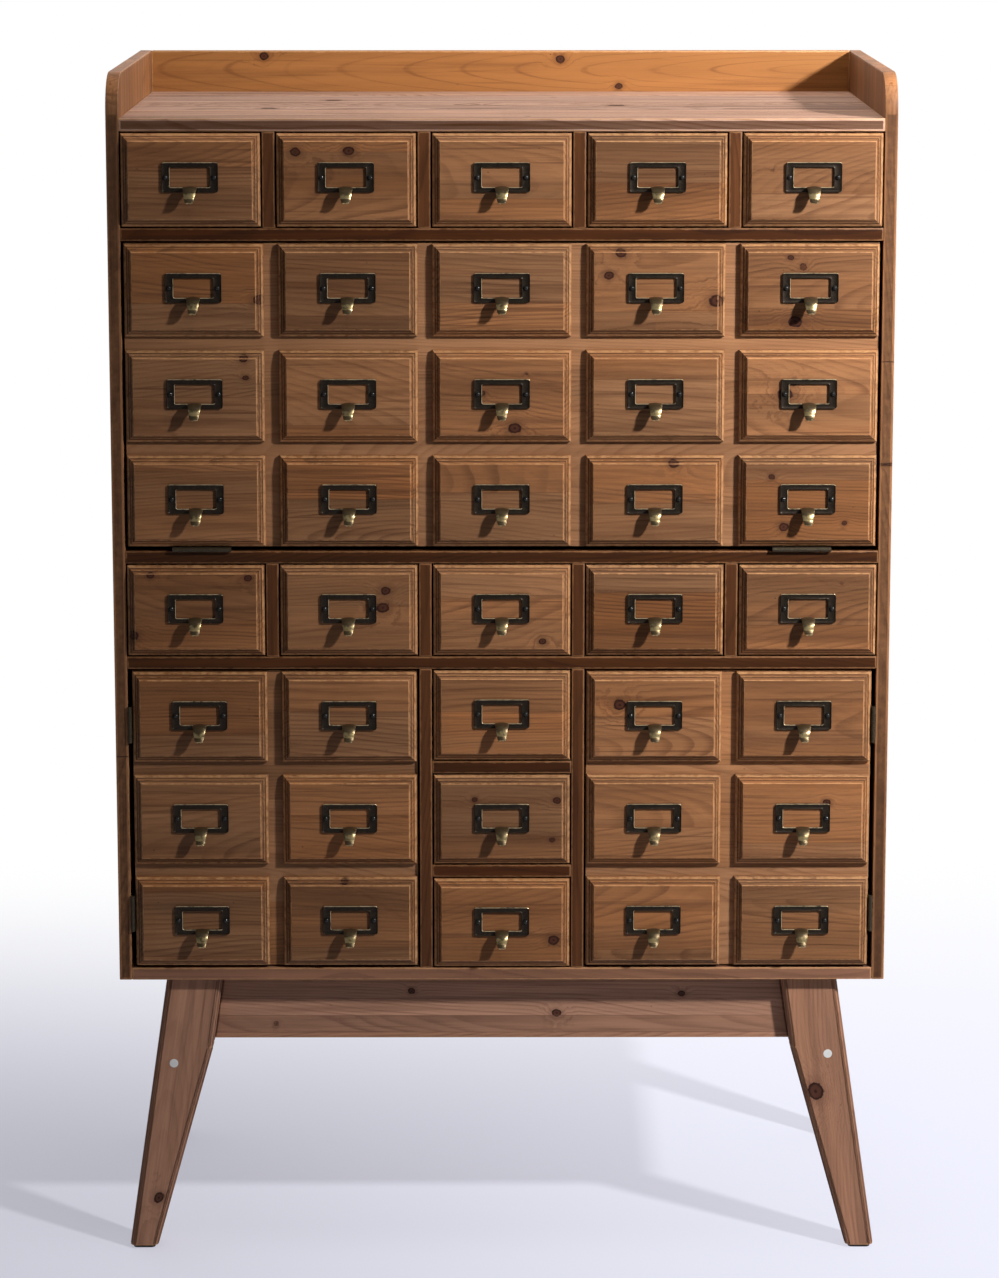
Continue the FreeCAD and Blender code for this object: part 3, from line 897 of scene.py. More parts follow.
@dataclass(frozen=True)
class WoodFinish:
    """Stained softwood: its colours and how strongly each trait shows."""

    name: str
    early: Color = (0.250, 0.122, 0.057, 1.0)
    late: Color = (0.085, 0.032, 0.014, 1.0)
    warm: Color = (0.295, 0.112, 0.037, 1.0)
    heart: Color = (0.055, 0.017, 0.009, 1.0)
    knot: Color = (0.020, 0.006, 0.004, 1.0)
    worn: Color = (0.550, 0.285, 0.126, 1.0)
    # Dark colour for dirt and nail holes, and for painted shade on front faces and moulding ledges.
    soil_and_shade: Color = (0.022, 0.010, 0.006, 1.0)
    ring_width: float = 3.4 * MM
    ring_onset: float = 0.30
    ring_wander: float = 34.0 * MM
    pith: Triple | None = None
    strip_width: float = 70.0 * MM
    ring_depth: float = 0.62
    fibre_depth: float = 0.9
    streak_depth: float = 0.55
    seam_depth: float = 0.45
    tone_spread: float = 0.28
    stain_spread: float = 1.4
    knot_rate: float = 0.12
    halo_share: float = 0.45
    core_share: float = 0.9
    rim_share: float = 0.92
    pit_rate: float = 0.05
    pit_share: float = 0.85
    wear_grain: float = 7.0 * MM
    worn_share: float = 0.72
    soil_and_shade_share: float = 0.8
    blush_spread: float = 1.4
    hue_spread: float = 1.1
    least_blush: float = -0.9
    fibre_light: float = -0.25
    roughness: float = 0.50
    fibre_roughness: float = 0.22
    worn_roughness: float = -0.08
    specular: float = 0.15
    relief: float = 0.12 * MM
    relief_strength: float = 0.6
    ring_relief: float = 0.35
    fibre_relief: float = 0.7
    pit_relief: float = -3.0

    def make(self, effects: Effects) -> Material:
        """Builds the material.

        Args:
            effects: the shared node groups.

        Returns:
            The material.
        """
        material, graph, shader = new_material(self.name)
        board = graph.attribute(Marks.BOARD).outputs["Vector"]
        seed = graph.attribute(Marks.SEED).outputs["Vector"]
        wear = graph.attribute(Marks.WEAR).outputs["Fac"]
        first, second, third = (graph.attribute(name).outputs["Vector"] for name in Marks.KNOTS)
        strips = graph.place(effects.strips, Board=board, Seed=seed, Strip_Width=self.strip_width)
        spot, draw = strips["Spot"], strips["Draw"]
        knots = graph.place(
            effects.knots,
            Board=board,
            Spot=spot,
            Rate=self.knot_rate,
            First=first,
            Second=second,
            Third=third,
        )
        rings = graph.place(
            effects.rings,
            Board=board,
            Spot=spot,
            Draw=draw if self.pith is None else self.pith,
            Lift=knots["Lift"],
            Ring_Width=self.ring_width,
            Onset=self.ring_onset,
            Wander=self.ring_wander,
        )
        edges = graph.place(effects.wear, Wear=wear, Spot=spot, Grain_Size=self.wear_grain)
        pits = graph.place(effects.pits, Spot=spot, Rate=self.pit_rate)
        hue, tone, _ = graph.split(draw)
        _, _, board_tone = graph.split(seed)
        own_blush = graph.math("MULTIPLY_ADD", hue, self.hue_spread, self.least_blush)
        blush = graph.math("MULTIPLY_ADD", rings["Blush"], self.blush_spread, own_blush)
        pale = graph.mix(blush, self.early, self.warm)
        fibre = graph.math("MULTIPLY", graph.math("SUBTRACT", rings["Fibre"], 0.5), self.fibre_depth)
        dark = graph.math("MULTIPLY_ADD", rings["Latewood"], self.ring_depth, fibre)
        color = graph.mix(graph.math("MAXIMUM", dark, 0.0), pale, self.late)
        both = graph.math("ADD", tone, board_tone)
        level = graph.math("MULTIPLY_ADD", both, self.tone_spread, 1.0 - self.tone_spread)
        slow = graph.math("MULTIPLY", graph.math("SUBTRACT", rings["Stain"], 0.5), self.stain_spread)
        light = graph.math("MULTIPLY_ADD", fibre, self.fibre_light, graph.math("ADD", level, slow))
        color = graph.stain(
            graph.mix(1.0, color, graph.merge(light, light, light), "MULTIPLY"),
            (rings["Streak"], self.streak_depth, self.late),
            (knots["Halo"], self.halo_share, self.late),
            (knots["Core"], self.core_share, self.heart),
            (knots["Rim"], self.rim_share, self.knot),
            (strips["Seam"], self.seam_depth, self.late),
            (edges["Worn"], self.worn_share, self.worn),
            # Light dirt, and painted shade from negative wear.
            (edges["Soiled"], self.soil_and_shade_share, self.soil_and_shade),
            (pits["Pit"], self.pit_share, self.soil_and_shade),
        )
        graph.feed(shader.inputs["Base Color"], color)
        shader.inputs["Specular IOR Level"].default_value = self.specular
        smoothest = self.roughness - self.fibre_roughness / 2
        rough = graph.math("MULTIPLY_ADD", rings["Fibre"], self.fibre_roughness, smoothest)
        rough = graph.math("MULTIPLY_ADD", edges["Worn"], self.worn_roughness, rough)
        graph.feed(shader.inputs["Roughness"], rough)
        ridges = graph.math("MULTIPLY", rings["Latewood"], self.ring_relief)
        grooves = graph.math("MULTIPLY_ADD", rings["Fibre"], self.fibre_relief, ridges)
        height = graph.math("MULTIPLY_ADD", pits["Pit"], self.pit_relief, grooves)
        graph.feed(shader.inputs["Normal"], graph.bump(height, self.relief_strength, self.relief))
        return material


@dataclass(frozen=True)
class MetalFinish:
    """Aged metal: a patina that is worn bright on the edges, and bright where a piece marks a painted
    highlight.
    """

    name: str
    patina: Color
    cloudy: Color
    bright: Color
    roughness: float = 0.42
    cloud_roughness: float = 0.24
    worn_roughness: float = -0.10
    wear_grain: float = 5.0 * MM
    bright_share: float = 0.9
    speck_share: float = 0.3
    metallic: float = 0.9
    relief: float = 0.08 * MM
    relief_strength: float = 0.35

    def make(self, effects: Effects) -> Material:
        """Builds the material.

        Args:
            effects: the shared node groups.

        Returns:
            The material.
        """
        material, graph, shader = new_material(self.name)
        place = graph.node("ShaderNodeTexCoord").outputs["Object"]
        seed = graph.attribute(Marks.SEED).outputs["Vector"]
        wear = graph.attribute(Marks.WEAR).outputs["Fac"]
        age = graph.place(effects.patina, Place=place, Seed=seed)
        edges = graph.place(effects.wear, Wear=wear, Spot=place, Grain_Size=self.wear_grain)
        color = graph.stain(
            graph.mix(age["Cloud"], self.patina, self.cloudy),
            (age["Speck"], self.speck_share, self.bright),
            (edges["Worn"], self.bright_share, self.bright),
        )
        graph.feed(shader.inputs["Base Color"], color)
        smoothest = self.roughness - self.cloud_roughness / 2
        rough = graph.math("MULTIPLY_ADD", age["Cloud"], self.cloud_roughness, smoothest)
        rough = graph.math("MULTIPLY_ADD", edges["Worn"], self.worn_roughness, rough)
        graph.feed(shader.inputs["Roughness"], rough)
        shader.inputs["Metallic"].default_value = self.metallic
        graph.feed(shader.inputs["Normal"], graph.bump(age["Cloud"], self.relief_strength, self.relief))
        return material


@dataclass(frozen=True)
class PlainFinish:
    """Plastic or paper: one colour with fine mottling."""

    name: str
    color: Color
    mottled: Color
    roughness: float = 0.6
    speck_roughness: float = 0.15

    def make(self, effects: Effects) -> Material:
        """Builds the material.

        Args:
            effects: the shared node groups.

        Returns:
            The material.
        """
        material, graph, shader = new_material(self.name)
        place = graph.node("ShaderNodeTexCoord").outputs["Object"]
        age = graph.place(effects.patina, Place=place)
        graph.feed(shader.inputs["Base Color"], graph.mix(age["Cloud"], self.color, self.mottled))
        rough = graph.math("MULTIPLY_ADD", age["Speck"], self.speck_roughness, self.roughness)
        graph.feed(shader.inputs["Roughness"], rough)
        return material


Finish = WoodFinish | MetalFinish | PlainFinish

FRONT_WOOD = WoodFinish("front_wood", ring_depth=0.7, streak_depth=0.72, tone_spread=0.34)
PANEL_WOOD = WoodFinish(
    "panel_wood",
    early=(0.320, 0.158, 0.076, 1.0),
    late=(0.160, 0.068, 0.031, 1.0),
    warm=(0.350, 0.148, 0.055, 1.0),
    strip_width=110 * MM,
    knot_rate=0.08,
    worn_share=0.35,
)
SIDE_WOOD = WoodFinish(
    "side_wood",
    early=(0.340, 0.155, 0.068, 1.0),
    late=(0.130, 0.052, 0.023, 1.0),
    warm=(0.350, 0.145, 0.055, 1.0),
    strip_width=45 * MM,
    streak_depth=0.75,
    worn_share=0.4,
)
BOTTOM_WOOD = WoodFinish(
    "bottom_wood",
    early=(0.230, 0.119, 0.080, 1.0),
    late=(0.110, 0.050, 0.030, 1.0),
    warm=(0.245, 0.112, 0.062, 1.0),
    strip_width=62 * MM,
    worn_share=0.6,
)
RAIL_WOOD = WoodFinish(
    "rail_wood",
    early=(0.066, 0.021, 0.0052, 1.0),
    late=(0.019, 0.0055, 0.0018, 1.0),
    warm=(0.075, 0.021, 0.0046, 1.0),
    worn=(0.300, 0.140, 0.060, 1.0),
    strip_width=200 * MM,
    stain_spread=2.0,
    worn_share=0.65,
)
DIVIDER_WOOD = replace(
    RAIL_WOOD,
    name="divider_wood",
    early=(0.092, 0.033, 0.0110, 1.0),
    late=(0.028, 0.009, 0.0034, 1.0),
    warm=(0.104, 0.034, 0.0098, 1.0),
)
# The pale, greyish early and warm colours hold painted sheen: the white backdrop's reflection on the satin
# top, which the low specular leaves out.
SHEENED_TOP_WOOD = WoodFinish(
    "top_wood_painted_sheen",
    early=(0.412, 0.258, 0.192, 1.0),
    late=(0.100, 0.046, 0.028, 1.0),
    warm=(0.430, 0.246, 0.162, 1.0),
    soil_and_shade=(0.065, 0.021, 0.005, 1.0),
    strip_width=52 * MM,
    ring_depth=0.75,
    streak_depth=0.9,
    seam_depth=0.9,
    tone_spread=0.5,
    knot_rate=0.45,
    worn_share=0.5,
    specular=0.03,
    roughness=0.7,
)
GALLERY_WOOD = WoodFinish(
    "gallery_wood",
    early=(0.330, 0.143, 0.046, 1.0),
    late=(0.135, 0.048, 0.016, 1.0),
    warm=(0.360, 0.140, 0.039, 1.0),
    strip_width=300 * MM,
    ring_width=4.4 * MM,
    ring_onset=0.78,
    ring_wander=11.0 * MM,
    pith=(0.535, 0.32, 0.15),
    ring_depth=0.72,
    fibre_depth=0.6,
    streak_depth=0.6,
    stain_spread=0.9,
    knot_rate=0.0,
)
LEG_WOOD = WoodFinish(
    "leg_wood",
    early=(0.352, 0.188, 0.122, 1.0),
    late=(0.158, 0.073, 0.046, 1.0),
    warm=(0.366, 0.175, 0.097, 1.0),
    strip_width=200 * MM,
    knot_rate=0.1,
    worn_share=0.45,
)
APRON_WOOD = replace(LEG_WOOD, name="apron_wood", strip_width=18.5 * MM, seam_depth=0.6)
DRAWER_WOOD = WoodFinish(
    "drawer_wood",
    early=(0.560, 0.370, 0.200, 1.0),
    late=(0.400, 0.230, 0.105, 1.0),
    warm=(0.600, 0.380, 0.190, 1.0),
    knot=(0.160, 0.070, 0.030, 1.0),
    worn=(0.640, 0.450, 0.270, 1.0),
    soil_and_shade=(0.200, 0.110, 0.050, 1.0),
    strip_width=400 * MM,
    worn_share=0.3,
)
BACK_WOOD = WoodFinish(
    "back_wood",
    early=(0.190, 0.092, 0.046, 1.0),
    late=(0.120, 0.052, 0.025, 1.0),
    warm=(0.205, 0.088, 0.038, 1.0),
    ring_width=9.0 * MM,
    strip_width=900 * MM,
    ring_depth=0.45,
    knot_rate=0.03,
    worn_share=0.3,
    roughness=0.62,
)
# The bright colour is worn bronze, and on the beads that face the key lamp it is also a painted highlight.
PULL_BRONZE = MetalFinish(
    "pull_bronze",
    patina=(0.015, 0.0095, 0.006, 1.0),
    cloudy=(0.028, 0.018, 0.011, 1.0),
    bright=(0.760, 0.590, 0.350, 1.0),
    speck_share=0.04,
    metallic=0.65,
)
# The bright colour is worn brass, and on the lip, the bend and the right edge it is also a painted highlight.
TONGUE_BRASS = MetalFinish(
    "tongue_brass",
    patina=(0.078, 0.052, 0.026, 1.0),
    cloudy=(0.130, 0.092, 0.048, 1.0),
    bright=(0.560, 0.430, 0.205, 1.0),
    roughness=0.42,
    speck_share=0.1,
    metallic=0.8,
)
SCREW_BLACK = MetalFinish(
    "screw_black",
    patina=(0.008, 0.008, 0.008, 1.0),
    cloudy=(0.016, 0.015, 0.014, 1.0),
    bright=(0.060, 0.055, 0.046, 1.0),
    roughness=0.26,
    bright_share=0.2,
    metallic=0.2,
)
HINGE_BRONZE = MetalFinish(
    "hinge_bronze",
    patina=(0.034, 0.025, 0.015, 1.0),
    cloudy=(0.066, 0.050, 0.031, 1.0),
    bright=(0.300, 0.230, 0.135, 1.0),
    metallic=0.6,
)
FITTING_STEEL = MetalFinish(
    "fitting_steel",
    patina=(0.300, 0.295, 0.280, 1.0),
    cloudy=(0.460, 0.450, 0.430, 1.0),
    bright=(0.650, 0.640, 0.620, 1.0),
)
PAD_PLASTIC = PlainFinish("pad_plastic", (0.020, 0.019, 0.018, 1.0), (0.036, 0.034, 0.032, 1.0))
DOT_PAPER = PlainFinish("dot_paper", (0.740, 0.740, 0.720, 1.0), (0.620, 0.620, 0.600, 1.0))


class Palette:
    """Makes each finish once and hands it out."""

    def __init__(self) -> None:
        """Builds the shared effects."""
        self.effects = Effects()
        self.made: dict[str, Material] = {}

    def of(self, finish: Finish) -> Material:
        """The material of a finish."""
        if finish.name not in self.made:
            self.made[finish.name] = finish.make(self.effects)
        return self.made[finish.name]


PALETTE = Palette()


def dress(obj: Object, finish: Finish) -> None:
    """Gives a piece its finish."""
    obj.data.materials.clear()
    obj.data.materials.append(PALETTE.of(finish))


def enlist(obj: Object, body: str, slot: Slot, *nodes: str) -> None:
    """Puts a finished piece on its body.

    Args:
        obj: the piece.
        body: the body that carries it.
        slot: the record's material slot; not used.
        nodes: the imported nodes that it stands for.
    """
    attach(obj, body)
    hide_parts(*nodes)
    LOG.info("%s rides on %s, %d faces", obj.name, body, len(obj.data.polygons))


# The knots that stand out, by row and column of the front
FRONT_KNOTS: dict[tuple[int, int], tuple[Knot, ...]] = {
    (1, 2): (Knot(-51, 29, 4.6), Knot(3, 30, 4.6)),
    (2, 1): (Knot(66, -9, 5.0),),
    (2, 4): (Knot(-48, 16, 4.2), Knot(-36, 39, 4.6), Knot(62, -10, 6.5)),
    (2, 5): (Knot(-15, -31, 6.0), Knot(-20, 34, 3.0)),
    (3, 1): (Knot(50, 40, 4.0), Knot(52, 20, 2.6)),
    (3, 3): (Knot(13, -32, 5.5), Knot(-20, 4, 2.6)),
    (3, 5): (Knot(-24, 3, 6.5), Knot(-16, 14, 3.0)),
    (4, 4): (Knot(19, 40, 4.6),),
    (4, 5): (Knot(-24, -26, 4.4), Knot(-37, 26, 2.8), Knot(38, -22, 2.4)),
    (5, 1): (Knot(-46, 38, 3.6), Knot(54, 35, 3.6), Knot(-65, -25, 5.0)),
    (5, 2): (Knot(38, 22, 4.4), Knot(35, 4, 5.4)),
    (5, 3): (Knot(42, -31, 3.4),),
    (6, 4): (Knot(-36, 14, 5.6),),
    (7, 3): (Knot(57, 22, 3.6), Knot(-28, 23, 2.8), Knot(52, -20, 2.6)),
    (7, 5): (Knot(25, 20, 3.2),),
    (8, 2): (Knot(-6, 44, 3.4),),
    (8, 3): (Knot(54, -17, 5.0),),
}

# The same for the boards of the case and the stand, by name
BOARD_KNOTS: dict[str, tuple[Knot, ...]] = {
    "gallery_board": (Knot(-262, 23, 4.4), Knot(66, 20, 4.4), Knot(131, -10, 3.4)),
    "top_panel": (Knot(-243, -54, 7.0), Knot(-180, 60, 7.0), Knot(121, -14, 7.0)),
    "cross_apron_1": (Knot(-95, 15, 3.2), Knot(190, 12, 3.0), Knot(58, -9, 4.2)),
    "front_left_leg": (Knot(-95, -6, 5.0),),
    "front_right_leg": (Knot(22, -9, 8.5),),
}


@dataclass
class Board:
    """A sawn board with softened edges that are worn paler than its faces."""

    name: str
    space: Block
    grain: Grain
    finish: WoodFinish
    rounding: float = 0.9 * MM
    worn_edge: float = 1.8 * MM
    broad: float = 2.4  # the least width of an inset face, in worn edges
    # how much painted shade darkens the faces that look to the front
    dark_front: float = 0.0
    curve_radius: float = 0.0
    curve_facets: int = 18
    top_share: float = 1.0

    def build(self) -> Object:
        """Models the board.

        Returns:
            The dressed board.
        """
        obj = Bench.block(self.name, self.space)
        if self.curve_radius > 0.0:
            self.curve_corner(obj)
        if self.top_share < 1.0:
            self.narrow_top(obj)
        Bench.round_edges(obj, self.rounding)
        self.frame_faces(obj)
        Bench.smooth(obj)
        Marks.board(obj, self.space, self.grain)
        Marks.seed(obj, self.name)
        Marks.knots(obj, BOARD_KNOTS.get(self.name, ()))
        dress(obj, self.finish)
        return obj

    def curve_corner(self, obj: Object) -> None:
        """Rounds the upper front corner to the curve's radius."""
        front, top = self.space.lo.y, self.space.hi.z

        def is_corner(a: Vector, b: Vector) -> bool:
            """Whether an edge lies along the upper front corner."""
            return all(abs(p.y - front) < MM and abs(p.z - top) < MM for p in (a, b))

        Bench.choose(obj, Pick.EDGES, is_corner)
        with Bench.editing(obj, Pick.EDGES):
            bpy.ops.mesh.bevel(offset=self.curve_radius, segments=self.curve_facets, affect="EDGES")

    def narrow_top(self, obj: Object) -> None:
        """Narrows the top face about the middle of the object."""
        Bench.choose(obj, Pick.FACES, lambda centre, normal: normal.z > FACING)
        with Bench.editing(obj):
            pivot = (0.0, self.space.centre.y, self.space.hi.z)
            bpy.ops.transform.resize(value=(self.top_share, 1.0, 1.0), center_override=pivot)

    def frame_faces(self, obj: Object) -> None:
        """Insets the broad faces, so that wear can fade from the edges inwards, and paints shade on the faces
        that look to the front.
        """
        least = self.broad * self.worn_edge
        mesh = obj.data
        wide_enough = []
        for polygon in mesh.polygons:
            corners = np.array([mesh.vertices[index].co for index in polygon.vertices])
            spans = sorted(np.ptp(corners, axis=0))
            wide_enough.append(spans[1] > least)
        Bench.choose(obj, Pick.FACES, lambda centre, normal: False)
        mesh.polygons.foreach_set("select", np.array(wide_enough, dtype=bool))
        with Bench.editing(obj):
            bpy.ops.mesh.inset(thickness=self.worn_edge, use_individual=True)
        Marks.wear_and_front_shade_from_faces(obj, self.dark_front)


@dataclass(frozen=True)
class Step:
    """One step of a moulding: how far in and up it goes, and the wear at its end, where negative values paint
    shade.
    """

    run: float
    rise: float
    wear: float


@dataclass
class MouldedFront:
    """A drawer front: a square edge, three bevels parted by narrow flat ledges painted dark as shaded
    grooves, and a raised field.
    """

    name: str
    space: Block
    worn_field_edge: float = 1.2 * MM
    lip_wear: float = 0.6
    rounding: float = 0.45 * MM
    # The ledges with negative wear are painted dark, as shade in grooves.
    steps: tuple[Step, ...] = (
        Step(0.5 * MM, 0.3 * MM, 0.80),
        Step(1.8 * MM, 2.0 * MM, 0.85),
        Step(0.35 * MM, 0.0, -0.9),
        Step(2.1 * MM, 2.3 * MM, 0.85),
        Step(0.35 * MM, 0.0, -0.9),
        Step(2.6 * MM, 2.6 * MM, 0.9),
        Step(0.05 * MM, 0.5 * MM, 1.0),
    )

    def build(self) -> Object:
        """Models the front.

        Returns:
            The dressed front.
        """
        lip_plane = self.space.lo.y + sum(step.rise for step in self.steps)
        obj = Bench.block(self.name, self.space.cut(y0=lip_plane))
        Bench.choose(obj, Pick.FACES, lambda centre, normal: normal.y < -FACING)
        with Bench.editing(obj):
            for step in self.steps:
                bpy.ops.mesh.inset(thickness=step.run, depth=step.rise)
            bpy.ops.mesh.inset(thickness=self.worn_field_edge)
        self.mark_wear(obj, lip_plane)
        self.soften_lip(obj, lip_plane)
        Bench.smooth(obj, degrees=25.0)
        Marks.board(obj, self.space, Grain.ALONG_X)
        Marks.seed(obj, self.name)
        dress(obj, FRONT_WOOD)
        return obj

    def mark_wear(self, obj: Object, lip_plane: float) -> None:
        """Writes each ring's wear: bright on edges that stand out, and painted shade on the ledges in the
        corners.

        Args:
            obj: the front.
            lip_plane: the place of the lip along Y.
        """
        places = Marks.points(obj)
        aside = np.minimum(places[:, 0] - self.space.lo.x, self.space.hi.x - places[:, 0])
        upright = np.minimum(places[:, 2] - self.space.lo.z, self.space.hi.z - places[:, 2])
        inwards = np.minimum(aside, upright)
        height = lip_plane - places[:, 1]
        rings = [(0.0, 0.0, self.lip_wear), (0.0, lip_plane - self.space.hi.y, 0.0)]
        run, rise = 0.0, 0.0
        for step in self.steps:
            run, rise = run + step.run, rise + step.rise
            rings.append((run, rise, step.wear))
        rings.append((run + self.worn_field_edge, rise, 0.0))
        gaps = np.stack([np.abs(inwards - ring[0]) + np.abs(height - ring[1]) for ring in rings], axis=1)
        Marks.write(obj, Marks.WEAR, np.array([ring[2] for ring in rings])[gaps.argmin(1)])

    def soften_lip(self, obj: Object, lip_plane: float) -> None:
        """Rounds the outer edge of the lip and the edge of the field."""
        field_inset = sum(step.run for step in self.steps)
        lo, hi = self.space.lo, self.space.hi

        def is_soft(a: Vector, b: Vector) -> bool:
            """Whether an edge runs round the lip or round the field."""
            for point in (a, b):
                inwards = min(point.x - lo.x, hi.x - point.x, point.z - lo.z, hi.z - point.z)
                on_lip = inwards < CLOSE and abs(point.y - lip_plane) < CLOSE
                on_field = abs(inwards - field_inset) < CLOSE and abs(point.y - lo.y) < CLOSE
                if not (on_lip or on_field):
                    return False
            return True

        Bench.choose(obj, Pick.EDGES, is_soft)
        with Bench.editing(obj, Pick.EDGES):
            bpy.ops.mesh.bevel(offset=self.rounding, segments=2, affect="EDGES")


@dataclass
class LabelPull:
    """A label frame with beads round its rim and window, a finger tongue and two screws."""

    centre: Vector
    width: float = 57.0 * MM
    height: float = 30.5 * MM
    depth: float = 2.4 * MM
    corner: float = 2.5 * MM
    corner_facets: int = 4
    rounding: float = 0.22 * MM
    window_width: float = 40.5 * MM
    window_height: float = 20.0 * MM
    window_corner: float = 1.2 * MM
    bead: float = 0.6 * MM
    bead_slope: float = 0.3 * MM
    recess: float = 0.6 * MM
    # Painted highlight on the beads that face the key lamp: the top rim, the window's foot and its left side.
    painted_highlight_bead: float = 1.0
    dull_bead: float = 0.25
    dirty_bed: float = -0.3
    tongue_root: float = 14.0 * MM
    tongue_tip: float = 9.8 * MM
    tongue_thickness: float = 1.8 * MM
    tongue_crown: float = 1.1 * MM
    crown_lifts: tuple[Range, ...] = ((0.0, 1.0), (0.5, 0.75))
    tongue_rounding: float = 0.45 * MM
    tongue_reach: float = 17.0 * MM
    bend_radius: float = 10.0 * MM
    bend_angle: float = math.radians(80)
    bend_steps: int = 9
    flare_radius: float = 9.5 * MM
    flare_angle: float = math.radians(45)
    flare_steps: int = 10
    tip_round: float = 4.4 * MM
    tongue_shares: tuple[float, ...] = (0.0, 0.08, 0.14, 0.26, 0.32, 0.58, 0.72, 1.0)
    # Wear from tip to root: the lip and the bend are worn bright and also carry a painted highlight; the
    # hollow and the root stay dull, as less worn and as painted shade.
    tongue_wear_and_painted_light: tuple[float, ...] = (1.0, 0.9, -0.1, -0.1, 0.9, 0.75, 0.2, 0.1)
    # The right edge faces the key lamp and carries a painted highlight.
    tongue_side: float = 0.9
    tongue_lit_side_highlight: float = 0.6
    screw_spacing: float = 49.0 * MM
    screw_radius: float = 2.7 * MM
    screw_wear: float = 0.6

    def build(self) -> Object:
        """Models the pull, standing on the plane of its centre.

        Returns:
            The dressed pull.
        """
        rim = self.build_frame()
        tongue = self.build_tongue()
        left = self.build_screw(-1)
        right = self.build_screw(1)
        pull = Bench.join(rim, tongue, left, right)
        pull.name = "label_pull"
        return pull

    def build_frame(self) -> Object:
        """Models the frame.

        Returns:
            The dressed frame.
        """
        rim = self.rounded_plane("pull_frame", self.width, self.height, self.corner)
        window = self.rounded_plane("pull_window", self.window_width, self.window_height, self.window_corner)
        obj = Bench.join(rim, window)
        with Bench.editing(obj, Pick.EDGES, everything=True):
            bpy.ops.mesh.delete(type="ONLY_FACE")
            bpy.ops.mesh.select_all(action="SELECT")
            bpy.ops.mesh.bridge_edge_loops()
        faces_back = obj.data.polygons[0].normal.y > 0.0
        with Bench.editing(obj, everything=True):
            if faces_back:
                bpy.ops.mesh.flip_normals()
            bpy.ops.mesh.extrude_region_move(TRANSFORM_OT_translate={"value": (0.0, -self.depth, 0.0)})
            bpy.ops.mesh.inset(thickness=self.bead)
            bpy.ops.mesh.inset(thickness=self.bead_slope, depth=-self.recess)
        self.mark_beads(obj)
        Bench.round_edges(obj, self.rounding, 1)
        Bench.smooth(obj, degrees=50.0)
        dress(obj, PULL_BRONZE)
        return obj

    def rounded_plane(self, name: str, width: float, height: float, radius: float) -> Object:
        """Adds an upright rectangle with rounded corners about the pull's centre.

        Args:
            name: what the piece is called.
            width: its length along X.
            height: its length along Z.
            radius: the radius of its corners.

        Returns:
            The new piece.
        """
        obj = Bench.front_plane(name, width, height, self.centre)
        with Bench.editing(obj, Pick.VERTICES, everything=True):
            bpy.ops.mesh.bevel(offset=radius, segments=self.corner_facets, affect="VERTICES")
        return obj

    def mark_beads(self, obj: Object) -> None:
        """Marks the beads: a painted highlight along the top rim, the window's foot and its left side, which
        face the key lamp, and light wear on the other beads.
        """
        places = Marks.points(obj) - np.array(self.centre)
        reach = self.bead + self.bead_slope
        top = places[:, 2] > self.height / 2 - reach
        inside = np.abs(places[:, 0]) < self.window_width / 2 + reach
        foot = inside & (np.abs(places[:, 2] + self.window_height / 2) < reach)
        left = np.abs(places[:, 0] + self.window_width / 2) < reach
        left &= np.abs(places[:, 2]) < self.window_height / 2
        on_bead = np.abs(places[:, 1] + self.depth) < CLOSE
        bead_wear_and_highlight = np.where(top | foot | left, self.painted_highlight_bead, self.dull_bead)
        Marks.write(obj, Marks.WEAR, np.where(on_bead, bead_wear_and_highlight, self.dirty_bed))

    def tongue_path(self) -> tuple[float, Vector, Vector]:
        """Works out the tongue's line.

        Returns:
            The straight run from the front plane, and the centres of the bend and of the flare.
        """
        bend, flare = self.bend_angle, self.flare_angle
        tip_run = self.flare_radius * (math.sin(bend) - math.sin(bend - flare))
        tip_corner = self.tongue_thickness / 2 * math.sin(bend - flare)
        run = self.tongue_reach - self.bend_radius * math.sin(bend) - tip_run - tip_corner
        root = self.centre + Vector((0.0, 0.0, -(self.window_height + self.tongue_thickness) / 2))
        bend_centre = root + Vector((0.0, -run, -self.bend_radius))
        heading = Vector((0.0, -math.sin(bend), math.cos(bend)))
        flare_centre = bend_centre + heading * (self.bend_radius + self.flare_radius)
        return run, bend_centre, flare_centre

    def build_tongue(self) -> Object:
        """Models the tongue: a strip that runs out, bends down and flares at its tip.

        Returns:
            The dressed tongue.
        """
        run, bend_centre, flare_centre = self.tongue_path()
        start = self.depth / 2
        root = self.centre + Vector((0.0, -start, -(self.window_height + self.tongue_thickness) / 2))
        obj = Bench.front_plane("pull_tongue", self.tongue_root, self.tongue_thickness, root)
        self.crown_tongue(obj)
        with Bench.editing(obj, everything=True):
            bpy.ops.mesh.extrude_region_move(TRANSFORM_OT_translate={"value": (0.0, start - run, 0.0)})
            for steps, angle, centre in (
                (self.bend_steps, -self.bend_angle, bend_centre),
                (self.flare_steps, self.flare_angle, flare_centre),
            ):
                bpy.ops.mesh.spin(steps=steps, angle=angle, center=centre, axis=(1.0, 0.0, 0.0))
            bpy.ops.mesh.select_all(action="SELECT")
            bpy.ops.mesh.remove_doubles(threshold=CLOSE / 10)
            bpy.ops.mesh.normals_make_consistent(inside=False)
        self.taper(obj, root.z)
        Bench.round_edges(obj, self.tongue_rounding)
        self.mark_tongue(obj)
        Bench.smooth(obj, degrees=60.0)
        dress(obj, TONGUE_BRASS)
        return obj

